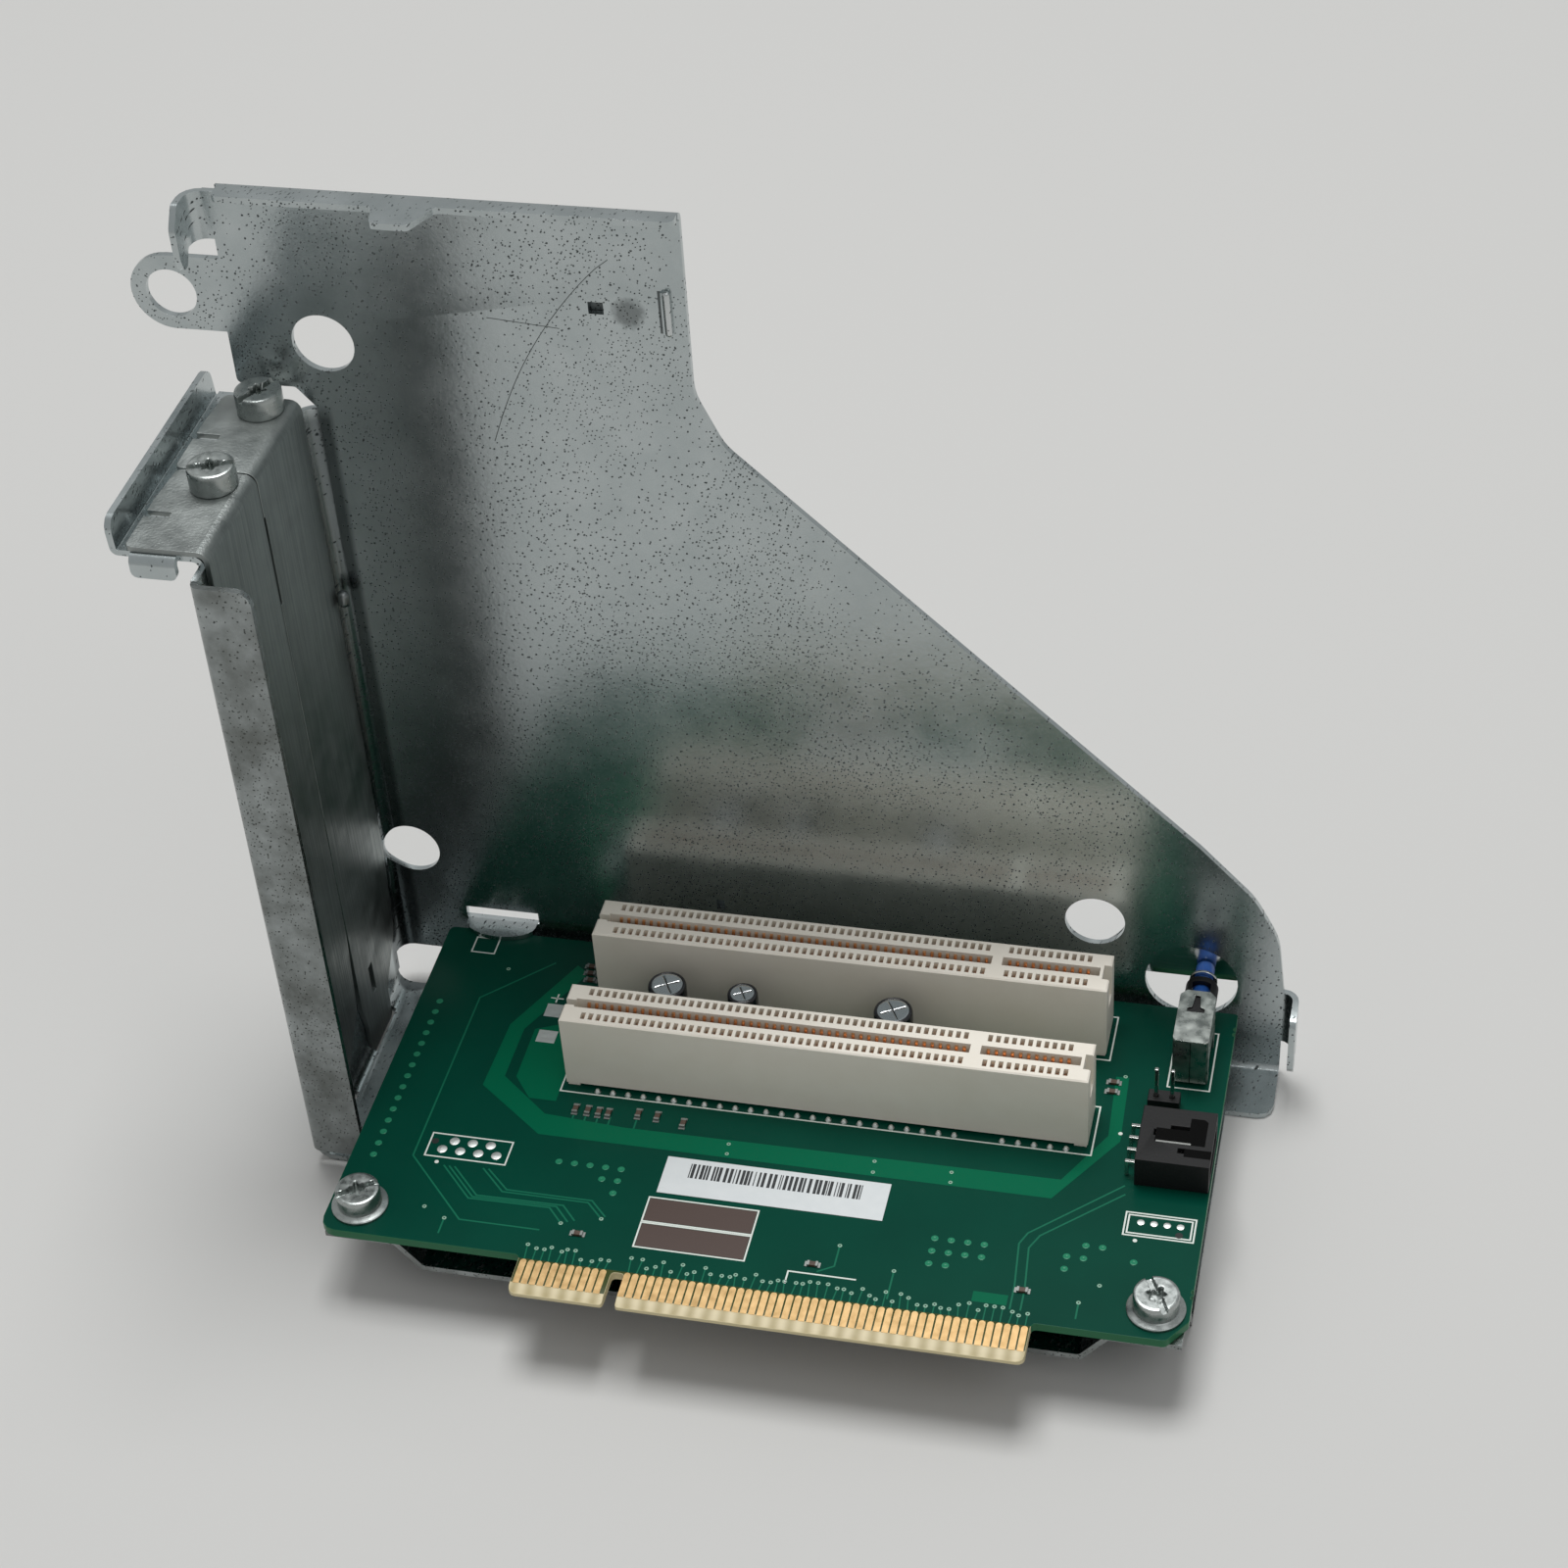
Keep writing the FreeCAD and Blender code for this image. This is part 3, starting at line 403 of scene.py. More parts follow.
# Brush lines 0.4 mm apart and 18 mm long, and rubbed patches of 5 mm.
turn = node(cover_steel, "Mapping", {"Vector": here, "Scale": (2400.0, 2400.0, 55.0)})
streak = node(cover_steel, "TexNoise", {"Vector": (turn, "Vector"), "Scale": 1.0, "Detail": 4.0})
rub = node(cover_steel, "TexNoise", {"Vector": here, "Scale": 210.0, "Detail": 4.0})
axes = node(cover_steel, "SeparateXYZ", {"Vector": here})
on_tab = node(cover_steel, "MapRange", {0: (axes, "Z"), 1: 0.1192, 2: 0.1206})
tone = node(cover_steel, "Mix", {0: (streak, "Fac"), 6: linear("#6d7474"), 7: linear("#aab0ae")},
            data_type="RGBA")
tab_tone = node(cover_steel, "Mix", {0: (rub, "Fac"), 6: linear("#7c8180"), 7: linear("#b3b8b6")},
                data_type="RGBA")
both = node(cover_steel, "Mix", {0: (on_tab, 0), 6: (tone, 2), 7: (tab_tone, 2)},
            data_type="RGBA")
wire(cover_steel, (both, 2), (main, "Base Color"))
rough = node(cover_steel, "MapRange", {0: (rub, "Fac"), 1: 0.3, 2: 0.7, 3: 0.34, 4: 0.52})
wire(cover_steel, (rough, 0), (main, "Roughness"))
dent = node(cover_steel, "Bump", {"Height": (streak, "Fac"), "Strength": 0.6,
                                  "Distance": 0.0001})
wire(cover_steel, (dent, "Normal"), (main, "Normal"))
for name in ("slot_cover_front", "slot_cover_rear"):
    softened(name, 0.2, cover_steel)


# Screws. Turned steel heads with a six lobed socket crossed by a slot, bright zinc plated. The
# two of the board have a flange; drivers have marked the slots.

# Bright zinc: it mirrors the room, blurred in spots of about 1 mm.
screw_zinc = finish("bright_zinc_screw", "#c3c8c6", 0.24, 1.0, cells=900.0, detail=3.0,
                    tones=("#979d9b", "#bfc4c2"), rough=(0.22, 0.40), relief=(0.15, 0.0001))


def merge(made, sharp=40, turn=True):
    """Closes seams and poles, turns faces outwards and keeps edges over sharp degrees crisp."""
    bpy.ops.object.select_all(action="DESELECT")
    bpy.context.view_layer.objects.active = made
    made.select_set(True)
    bpy.ops.object.mode_set(mode="EDIT")
    bpy.ops.mesh.select_all(action="SELECT")
    bpy.ops.mesh.remove_doubles(threshold=1e-7)
    if turn:
        bpy.ops.mesh.normals_make_consistent(inside=False)
    bpy.ops.object.mode_set(mode="OBJECT")
    bpy.ops.object.shade_smooth_by_angle(angle=math.radians(sharp))
    made.select_set(False)


def screw(name, x, y, top, radius, seat, flange, shank, tip, slot_turn):
    """A turned profile r(k), z(k). The socket's rings follow 1.28 + 0.22 cos 6a; the slot lowers
    every point nearer than 0.5 mm to its line; the thread is a helix on the shank."""
    a = np.linspace(0, 2 * np.pi, 180, endpoint=False)
    lobe = 1.28 + 0.22 * np.cos(6 * a)
    one = np.ones_like(a)
    rings = [(0 * a, top - 1.8), (0.5 * lobe, top - 1.8), (lobe, top - 1.75), (lobe, top - 0.15),
             (lobe + 0.12, top - 0.02)]
    rings += [((1.75 + (radius - 2.1) * k / 6) * one, top + 0.05 - 0.05 * (k / 6) ** 2)
              for k in range(7)]
    rings += [((radius - 0.12) * one, top - 0.1), (radius * one, top - 0.35),
              (radius * one, top - 1.0)]
    if flange:
        rings += [(radius * one, seat + 0.8), ((radius + 0.15) * one, seat + 0.66),
                  ((flange - 0.2) * one, seat + 0.55), (flange * one, seat + 0.4),
                  (flange * one, seat)]
    else:
        rings += [(radius * one, seat + 0.1), ((radius - 0.1) * one, seat)]
    rings += [(shank * one, seat)]
    r = np.stack([ring[0] for ring in rings])
    z = np.stack([ring[1] * one for ring in rings])
    across = np.abs(r * np.sin(a - math.radians(slot_turn)))
    depth = np.clip((0.56 - across) / 0.08, 0, 1)
    z = np.where((r > 0.9) & (z > top - 1.2), np.minimum(z, top - 0.9 * depth), z)
    turns = np.linspace(seat - 0.05, tip, 70)
    wave = np.abs(((turns[:, None] / 0.7 + a[None] / (2 * np.pi)) % 1) * 2 - 1)
    taper = np.clip((turns - tip) / 0.8, 0.0, 1.0)[:, None]
    r = np.vstack([r, (shank - 0.2 + 0.2 * wave) * (0.6 + 0.4 * taper), 0 * a[None]])
    z = np.vstack([z, np.repeat(turns[:, None], len(a), 1), (tip - 0.05) * one[None]])
    points = np.stack([x + r * np.cos(a), y + r * np.sin(a), z], -1)
    faces = [f[::-1] for f in grid_faces(len(r), len(a), round_v=True)]
    made = piece(name, points, faces, screw_zinc, True)
    merge(made)
    return made


for name, flange, shank, turn in (("cover_screw_front", 0, 1.68, 20),
                                  ("cover_screw_rear", 0, 1.68, 62),
                                  ("board_screw_left", 4.45, 1.33, 35),
                                  ("board_screw_right", 4.45, 1.33, 118)):
    low, high = (np.array(corner) * 1000 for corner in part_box(name))
    mid = (low + high) / 2
    head = 3.5 if flange else 3.6
    seat = high[2] - (3.8 if flange else 3.7)
    made = screw(name + "_turned", mid[0], mid[1], high[2] - 0.05, head, seat, flange, shank,
                 low[2] + 0.1, turn)
    fasten(made, instead=name)


# Riser board. Glass epoxy laminate 1.57 mm thick under green solder mask. The copper below the
# mask shows as a lighter green; the finger edge is bare of mask and bevelled.

BOARD_TOP, LAMINATE = 14.2, 1.57
PITCH, FINGER_START, SLOT_START = 1.27, -20.17, -20.0
FRONT_SLOT, SLOT_STEP = 4.81, 20.32

board_mask, main = shader("solder_mask_laminate", "#014a3a", 0.24, Specular_IOR_Level=0.14)
place = node(board_mask, "TexCoord")
axes = node(board_mask, "SeparateXYZ", {"Vector": (place, "Object")})
facing = node(board_mask, "SeparateXYZ", {"Vector": (place, "Normal")})
level = node(board_mask, "Math", {0: (facing, "Z")}, operation="ABSOLUTE")
edge = node(board_mask, "Math", {0: (level, 0), 1: 0.95}, operation="LESS_THAN")
tongue = node(board_mask, "Math", {0: (axes, "Y"), 1: -0.0365}, operation="LESS_THAN")
# Faint blotches of 17 mm in the mask, and stripes 2.5 mm apart on the bare bevelled edge.
blotch = node(board_mask, "TexNoise", {"Vector": (place, "Object"), "Scale": 60.0,
                                       "Detail": 3.0})
mask = node(board_mask, "Mix", {0: (blotch, "Fac"), 6: linear("#003a2e"), 7: linear("#004939")},
            data_type="RGBA")
root = node(board_mask, "Mix", {0: (tongue, 0), 6: (mask, 2), 7: linear("#3f4a26")},
            data_type="RGBA")
tip = node(board_mask, "Math", {0: (axes, "Y"), 1: -0.0413}, operation="LESS_THAN")
weave = node(board_mask, "TexWave", {"Vector": (place, "Object"), "Scale": 124.0,
                                     "Distortion": 1.5})
bare = node(board_mask, "Mix", {0: (weave, "Fac"), 6: linear("#b4a67c"), 7: linear("#d8cba6")},
            data_type="RGBA")
root = node(board_mask, "Mix", {0: (tip, 0), 6: (root, 2), 7: (bare, 2)}, data_type="RGBA")
rim = node(board_mask, "Mix", {0: (tongue, 0), 6: linear("#2c6a48"), 7: linear("#d6caa2")},
           data_type="RGBA")
cut = node(board_mask, "Mix", {0: (edge, 0), 6: (root, 2), 7: (rim, 2)}, data_type="RGBA")
wire(board_mask, (cut, 2), (main, "Base Color"))
softened("riser_board", 0.1, board_mask, 1)

# The mask over copper is lighter than over bare laminate; the print is matt ink.
copper_mask = finish("mask_over_copper", "#006446", 0.24, Specular_IOR_Level=0.14)
trace_mask = finish("mask_over_trace", "#146a50", 0.26, Specular_IOR_Level=0.2)
hole_mask = finish("mask_over_hole", "#25805f", 0.26, Specular_IOR_Level=0.2)
ring_print = finish("pale_mask_ring", "#86b09a", 0.4)
# Near-black discs paint the shade inside the drilled holes, which are not cut through the board.
hole_shade_paint = finish("hole_painted_shade", "#0c1512", 0.6)
print_white = finish("white_screen_print", "#dfe6df", 0.55)
print_brown = finish("brown_screen_print", "#47352e", 0.5)
# Solder sets with a satin skin, rippled every 0.7 mm.
solder = finish("tin_lead_solder", "#dfe2df", 0.45, 1.0, cells=1400.0, relief=(0.4, 0.00015))


def plates(name, outlines, low, high, material):
    """Flat plates: each outline of (x, y) is a face at high, one at low and a ring of sides."""
    points, faces, start = [], [], 0
    for outline in outlines:
        outline = np.asarray(outline, float)
        x, y = outline.T
        if (x * np.roll(y, -1) - np.roll(x, -1) * y).sum() < 0:
            outline = outline[::-1]
        count = len(outline)
        points += [np.c_[outline, np.full(count, low)], np.c_[outline, np.full(count, high)]]
        around = np.array(grid_faces(2, count, round_v=True))[:, ::-1] + start
        caps = np.arange(2 * count).reshape(2, count) + start
        faces += around.tolist() + [caps[0, ::-1].tolist(), caps[1].tolist()]
        start += 2 * count
    return piece(name, np.vstack(points), faces, material)


def box_outline(x0, x1, y0, y1):
    """The four corners of a box, anticlockwise from (x0, y0)."""
    return [(x0, y0), (x1, y0), (x1, y1), (x0, y1)]


def frame_of(x0, x1, y0, y1):
    """Closed run round a box, for a printed outline; its ends meet in the middle of one side."""
    mid = (x0 + x1) / 2
    return [(mid, y0), (x1, y0), (x1, y1), (x0, y1), (x0, y0), (mid - 0.01, y0)]


def turned_dots(name, places, profile, material, sides, level=BOARD_TOP):
    """One turned shape, r(k) and z(k), repeated at every (x, y) of places, with its z from level
    up, by adding the two arrays."""
    a = np.linspace(0, 2 * np.pi, sides, endpoint=False)
    r, z = np.asarray(profile, float).T
    one = np.stack([r[:, None] * np.cos(a), r[:, None] * np.sin(a),
                    np.repeat(z[:, None], sides, 1)], -1)
    places = np.c_[np.asarray(places, float), np.full(len(places), level)]
    points = places[:, None, None] + one[None]
    faces = np.array([f[::-1] for f in grid_faces(len(r), sides, round_v=True)])
    starts = (np.arange(len(places)) * len(r) * sides)[:, None, None]
    made = piece(name, points, (faces[None] + starts).reshape(-1, 4).tolist(), material, True)
    merge(made)
    return made


# Copper under the mask: one wide band round the slots, a patch by the fingers, runs and rows of
# covered holes.
outer = [(-29.4, 27.9), (-36.8, 12.4), (-37.3, -1.8), (-25.3, -10.9), (57.2, -10.9), (66.0, 2.7),
         (65.5, 16.7)]
inner = [(63.4, 16.7), (64.0, 3.6), (58.1, -6.8), (-12.0, -7.3), (-25.5, -6.4), (-34.3, 0.7),
         (-34.2, 11.7), (-27.1, 26.2)]
corner = [(-32.4, 12.0), (-32.4, 0.9), (-29.0, -3.4), (-24.5, -3.4), (-24.5, 9.8), (-27.0, 14.4)]
fasten(plates("copper_band", [outer + inner, corner, box_outline(48.6, 53.9, -33.2, -31.2)],
              BOARD_TOP - 0.02, BOARD_TOP + 0.012, copper_mask))

runs = [[(-33.3, 27.9), (-43.7, 17.7), (-43.8, -18.7), (-32.5, -30.5), (-19.5, -30.5)],
        [(54.5, -33.8), (54.5, -29.3), (53.8, -20.8), (54.8, -18.5), (68.0, -6.4)],
        [(56.1, -33.8), (56.1, -29.6), (55.4, -21.4), (56.7, -18.7), (68.3, -8.2)],
        [(-34.9, -30.6), (-34.9, -33.8)], [(64.4, -30.9), (64.4, -34.0)],
        [(-10.5, -5.0), (-10.5, -7.6), (-4.9, -7.6)], [(36.1, -29.4), (36.1, -35.0)],
        [(27.0, -25.8), (27.0, -30.0), (24.6, -31.5)]]
runs += [[(-38.3 + 0.9 * k, -19.9), (-32.4 + 0.55 * k, -26.0 + 0.4 * k),
          (-19.2 + k, -25.8 + 0.4 * k), (-16.6 + k, -28.6 + 0.4 * k)] for k in range(3)]
runs += [[(-31.9 + 0.9 * k, -19.5), (-27.5 + 0.6 * k, -23.8 + 0.5 * k),
          (-13.5 + 0.5 * k, -23.8 + 0.5 * k), (-10.6 + 0.5 * k, -26.7 + 0.5 * k)]
         for k in range(2)]
runs += [[(-20.8 + 2 * k, -5.4), (-20.8 + 2 * k, -9.0)] for k in range(4)]
fasten(strip("board_runs", runs, 0.28, BOARD_TOP - 0.02, BOARD_TOP + 0.010, trace_mask))

covered = [(-50.15, 15.8 - 2.523 * k) for k in range(15)]
covered += [(-20.4 + 2.55 * k, -16.1) for k in range(5)]
covered += [(-12.7 + 2.55 * (k % 2), -18.6) for k in range(2)] + [(-10.2, -21.2)]
covered += [(41.0 + 2.55 * (k % 4), -21.9 - 2.55 * (k // 4)) for k in range(10)]
covered += [(63.85, -19.5), (66.4, -19.5), (61.3, -22.1), (63.85, -22.1), (61.3, -24.6),
            (71.4, -21.6)]
covered_profile = [(0.0, 0.004), (0.16, 0.004), (0.2, 0.02), (0.52, 0.024), (0.58, 0.0),
                   (0.58, -0.02), (0.0, -0.02)]
fasten(turned_dots("covered_holes", covered, covered_profile, hole_mask, 14))

# A via beside each finger, not quite in line, and a short run from it to the finger.
rng = np.random.default_rng(7)
positions = np.array([i for i in range(62) if i < 11 or i > 12])
via_y = -35.3 + 0.55 * rng.integers(0, 4, len(positions))
via_x = FINGER_START + positions * PITCH + 0.25 * rng.integers(-1, 2, len(positions))
vias = list(zip(via_x, via_y))
vias += [(5.3, -8.0), (5.5, -10.1), (28.8, -7.8), (29.0, -10.1), (41.1, -8.1), (41.3, -10.2),
         (-40.9, 25.2), (-38.7, -28.8), (-34.9, -30.6), (67.0, -27.0), (64.4, -30.8),
         (27.0, -25.8), (36.1, -29.4), (64.9, 16.9), (-10.6, -26.7), (-16.6, -28.6)]
ring_profile = [(0.1, -0.02), (0.13, 0.012), (0.17, 0.022), (0.31, 0.022), (0.36, 0.0),
                (0.36, -0.02)]
hole_profile = [(0.0, 0.014), (0.15, 0.014), (0.15, -0.01), (0.0, -0.01)]
fasten(turned_dots("via_rings", vias, ring_profile, ring_print, 12))
# Painted shade: a near-black disc in the middle of each via.
fasten(turned_dots("via_holes", vias, hole_profile, hole_shade_paint, 8))
stubs = [[(FINGER_START + i * PITCH, -36.7), (x, y - 0.3)]
         for i, x, y in zip(positions, via_x, via_y)]
fasten(strip("finger_stubs", stubs, 0.2, BOARD_TOP - 0.02, BOARD_TOP + 0.011, trace_mask))

# Header footprint, audio footprint and the two grey pads are bare tinned copper.
pads = [(-38.1 + 3.0 * k, -14.65) for k in range(3)]
pads += [(-39.6 + 3.0 * k, -16.6) for k in range(4)]
pad_profile = [(0.0, 0.08), (0.3, 0.07), (0.68, 0.03), (0.82, 0.0), (0.82, -0.02), (0.0, -0.02)]
fasten(turned_dots("header_pads", pads, pad_profile, solder, 16))
pads = [(71.4 + 2.02 * k, -13.43) for k in range(4)]
pad_profile = [(0.0, 0.06), (0.3, 0.05), (0.5, 0.02), (0.58, 0.0), (0.58, -0.02), (0.0, -0.02)]
fasten(turned_dots("audio_pads", pads, pad_profile, solder, 14))
# Painted shade: the two open holes are near-black discs, not cut.
fasten(turned_dots("open_holes", [(-41.2, -15.1), (77.45, -15.2)],
                   [(0.0, 0.03), (0.6, 0.03), (0.6, -0.02), (0.0, -0.02)], hole_shade_paint, 16))
pads = [box_outline(-31.9, -29.2, 15.2, 18.2), box_outline(-31.6, -28.4, 9.2, 12.0)]
fasten(plates("grey_pads", pads, BOARD_TOP - 0.02, BOARD_TOP + 0.03, solder))

# White print: outlines of the parts and of the label's place, in matt ink.
prints = [frame_of(-42.0, -28.7, -18.3, -13.4), frame_of(69.0, 79.7, -16.3, -11.65),
          frame_of(69.5, 79.2, -15.8, -12.15), frame_of(-24.4, 61.9, -1.0, 9.6),
          frame_of(-24.4, 61.9, 20.1, 30.1), frame_of(-48.4, -44.4, 28.4, 32.0),
          frame_of(71.7, 78.4, 15.8, 28.9), [(20.3, -34.6), (20.3, -32.1), (30.8, -32.1)],
          [(-31.8, 19.6), (-29.6, 19.6)], [(-30.7, 18.6), (-30.7, 20.6)],
          frame_of(-4.3, 13.2, -26.0, -21.0), frame_of(-4.3, 13.2, -31.3, -26.3)]
fasten(strip("white_outlines", prints, 0.26, BOARD_TOP - 0.01, BOARD_TOP + 0.022, print_white))
boxes = [box_outline(-4.1, 13.0, -25.8, -21.2), box_outline(-4.1, 13.0, -31.1, -26.5)]
fasten(plates("brown_boxes", boxes, BOARD_TOP - 0.02, BOARD_TOP + 0.016, print_brown))
fasten(turned_dots("print_dots", [(-39.65, -19.4), (71.0, -17.25), (65.8, 4.4)],
                   [(0.0, 0.022), (0.34, 0.022), (0.36, -0.01), (0.0, -0.01)], print_white, 14))

# Soldered ends of the slots' pins: a row that shows in front of the front slot, and the cones
# under the board.
joints = [(-18.3 + 2.54 * k, -0.30) for k in range(31) if k not in (24, 25)]
fasten(turned_dots("solder_row", joints, [(0.0, 0.55), (0.28, 0.48), (0.46, 0.22), (0.55, 0.0),
                                          (0.55, -0.03), (0.0, -0.03)], solder, 12))
joints = [(SLOT_START + PITCH * i, FRONT_SLOT + SLOT_STEP * k + (1.27 if i % 2 else 3.81) * side)
          for i in range(62) if i not in (49, 50) for k in (0, 1) for side in (-1, 1)]
fasten(turned_dots("solder_cones", joints, [(0.0, 0.02), (0.75, 0.02), (0.7, -0.08),
                                            (0.42, -0.4), (0.26, -0.9), (0.22, -1.05),
                                            (0.0, -1.1)], solder, 8, BOARD_TOP - LAMINATE))


# Edge fingers. Copper fingers plated with nickel and hard gold at 1.27 mm pitch, rounded where
# they meet the mask. Cards pulled in and out have dulled them a little.

# Hard gold, rubbed duller and paler in spots of 1.4 mm.
finger_gold = finish("hard_gold_plate", "#e0c48c", 0.30, 1.0, cells=700.0, detail=3.0,
                     tones=("#c29c66", "#dcbc8c"), rough=(0.32, 0.42))


def copies(name, points, faces, places, material):
    """One shape's points (n, 3) set down at every place (m, 3) by adding the two arrays."""
    points, places, faces = (np.asarray(given) for given in (points, places, faces))
    starts = (np.arange(len(places)) * len(points))[:, None, None]
    every = (faces[None] + starts).reshape(-1, faces.shape[1])
    return piece(name, places[:, None] + points[None], every.tolist(), material)


# Outline of one finger: straight sides and a half round end, seen from above.
s = np.linspace(0, np.pi, 9)
x = np.concatenate([[0.5], 0.5 * np.cos(s), [-0.5]])
y = np.concatenate([[-41.4], -37.1 + 0.48 * np.sin(s), [-41.4]])
sides = np.array(grid_faces(2, 11, round_v=True))
fan = np.array([[k, 10 - k, 9 - k, k + 1] for k in range(5)])
fan = np.vstack([sides[:, ::-1], fan + 11, fan[:, ::-1]])
for name, low, high in (("top", BOARD_TOP - 0.01, BOARD_TOP + 0.045),
                        ("bottom", BOARD_TOP - 1.615, BOARD_TOP - 1.56)):
    finger = np.stack([np.tile(x, 2), np.tile(y, 2), np.repeat([low, high], 11)], -1)
    row = copies("plated_fingers_" + name, finger, fan,
                 [(FINGER_START + PITCH * i, 0, 0) for i in positions], finger_gold)
    merge(row, 30)
    fasten(row, instead="edge_fingers_" + name)


# Card slots. Ivory glass filled polyester, injection moulded: a long body with a card groove, a
# key and two rows of windows, pressed into the board and soldered from below.

slot_ivory, main = shader("ivory_moulded_polyester", "#efe9dc", 0.46)
place = node(slot_ivory, "TexCoord")
# Clouds of 6 mm in the colour and a moulded grain of 0.4 mm.
cloud = node(slot_ivory, "TexNoise", {"Vector": (place, "Object"), "Scale": 180.0,
                                      "Detail": 3.0})
tone = node(slot_ivory, "Mix", {0: (cloud, "Fac"), 6: linear("#e9e2d4"), 7: linear("#f2ede2")},
            data_type="RGBA")
wire(slot_ivory, (tone, 2), (main, "Base Color"))
grain = node(slot_ivory, "TexNoise", {"Vector": (place, "Object"), "Scale": 2400.0,
                                      "Detail": 2.0})
dent = node(slot_ivory, "Bump", {"Height": (grain, "Fac"), "Strength": 0.08,
                                 "Distance": 0.0001})
wire(slot_ivory, (dent, "Normal"), (main, "Normal"))


def stepped(name, xs, ys, height, floor, chamfer, material):
    """Each cell of a net has a flat top at its own height, lowered by the chamfer on the outer
    rim; a wall stands wherever two neighbours differ, and the floor closes it below."""
    nx, ny = len(xs) - 1, len(ys) - 1
    gx, gy = np.meshgrid(xs, ys, indexing="ij")
    rim = np.zeros_like(gx)
    rim[0], rim[-1], rim[:, 0], rim[:, -1] = 1, 1, 1, 1

    def corners(values):
        """The values at the four corners of every cell, anticlockwise."""
        return np.stack([values[:-1, :-1], values[1:, :-1], values[1:, 1:], values[:-1, 1:]], -1)

    px, py = corners(gx), corners(gy)
    top = height[..., None] - chamfer * corners(rim)
    quads = [np.stack([px, py, top], -1).reshape(-1, 4, 3)]
    quads += [np.stack([px, py, np.full_like(px, floor)], -1)[:, :, ::-1].reshape(-1, 4, 3)]
    edge = np.pad(top, ((1, 1), (0, 0), (0, 0)), constant_values=floor)
    left, right = edge[:-1][..., [1, 2]], edge[1:][..., [0, 3]]
    wx = np.repeat(xs[:, None], ny, 1)
    y0, y1 = np.repeat(ys[None, :-1], nx + 1, 0), np.repeat(ys[None, 1:], nx + 1, 0)
    wall = np.stack([np.stack([wx, y0, left[..., 0]], -1), np.stack([wx, y0, right[..., 0]], -1),
                     np.stack([wx, y1, right[..., 1]], -1), np.stack([wx, y1, left[..., 1]], -1)],
                    -2)
    quads.append(wall[np.abs(left - right).max(-1) > 1e-6])
    edge = np.pad(top, ((0, 0), (1, 1), (0, 0)), constant_values=floor)
    near, far = edge[:, :-1][..., [3, 2]], edge[:, 1:][..., [0, 1]]
    wy = np.repeat(ys[None], nx, 0)
    x0, x1 = np.repeat(xs[:-1, None], ny + 1, 1), np.repeat(xs[1:, None], ny + 1, 1)
    wall = np.stack([np.stack([x0, wy, near[..., 0]], -1), np.stack([x1, wy, near[..., 1]], -1),
                     np.stack([x1, wy, far[..., 1]], -1), np.stack([x0, wy, far[..., 0]], -1)],
                    -2)
    quads.append(wall[np.abs(near - far).max(-1) > 1e-6])
    points = np.vstack(quads)
    made = piece(name, points, np.arange(len(points) * 4).reshape(-1, 4).tolist(), material)
    merge(made, 30, False)
    return made


HOUSING_TOP = 28.83
SLOT_ROWS = ((FRONT_SLOT, "front"), (25.13, "rear"))
GROOVE, WINDOW_IN, WINDOW_OUT = 0.95, 2.02, 3.46  # half widths across a slot
key_x = SLOT_START + 49.5 * PITCH
window_x = SLOT_START + PITCH * np.array([i for i in range(62) if i not in (49, 50)])
for yc, side in SLOT_ROWS:
    xs = np.unique(np.round(np.concatenate([window_x - 0.36, window_x + 0.36, [
        -23.67, -23.42, -21.97, -21.87, 59.47, 59.97, 60.92, 61.17, key_x - 0.85,
        key_x + 0.85]]), 3))
    ys = yc + np.array([-4.25, -4.0, -WINDOW_OUT, -WINDOW_IN, -1.6, -GROOVE, -0.6,
                        0.6, GROOVE, 1.6, WINDOW_IN, WINDOW_OUT, 4.0, 4.25])
    mx, my = np.meshgrid((xs[1:] + xs[:-1]) / 2, (ys[1:] + ys[:-1]) / 2 - yc, indexing="ij")
    by_window = np.abs(mx[..., None] - window_x).min(-1) < 0.36
    by_window &= (np.abs(my) > WINDOW_IN) & (np.abs(my) < WINDOW_OUT)
    in_groove = (mx > -21.97) & (mx < 59.47) & (np.abs(my) < GROOVE)
    in_groove &= np.abs(mx - key_x) > 0.85
    height = np.full(mx.shape, HOUSING_TOP)
    height[by_window] = HOUSING_TOP - 6.5
    height[in_groove] = HOUSING_TOP - 8.4
    height[(mx > 59.97) & (np.abs(my) < 1.6)] = HOUSING_TOP - 6.0
    height[(mx < -21.87) & (np.abs(my) < 0.6)] = HOUSING_TOP - 5.0
    body = stepped("slot_body_" + side, xs, ys, height, BOARD_TOP + 0.60, 0.22, slot_ivory)
    feet = plates("slot_feet_" + side, [box_outline(-23.5, -21.5, yc - 4.1, yc + 4.1),
                                        box_outline(59.0, 61.0, yc - 4.1, yc + 4.1)],
                  BOARD_TOP + 0.02, BOARD_TOP + 0.62, slot_ivory)
    fasten(feet)
    fasten(body, instead="slot_housing_" + side)


# Contacts. Phosphor bronze springs, gold plated, one each side of the groove at every position:
# bent over in the window and bulging into the groove where a card meets them.

# A thin flash of gold over bronze, redder where it has worn, in spots of about 1 mm.
spring_bronze = finish("gold_flashed_bronze", "#c98f62", 0.34, 1.0, cells=900.0,
                       tones=("#b87c50", "#dcab80"))


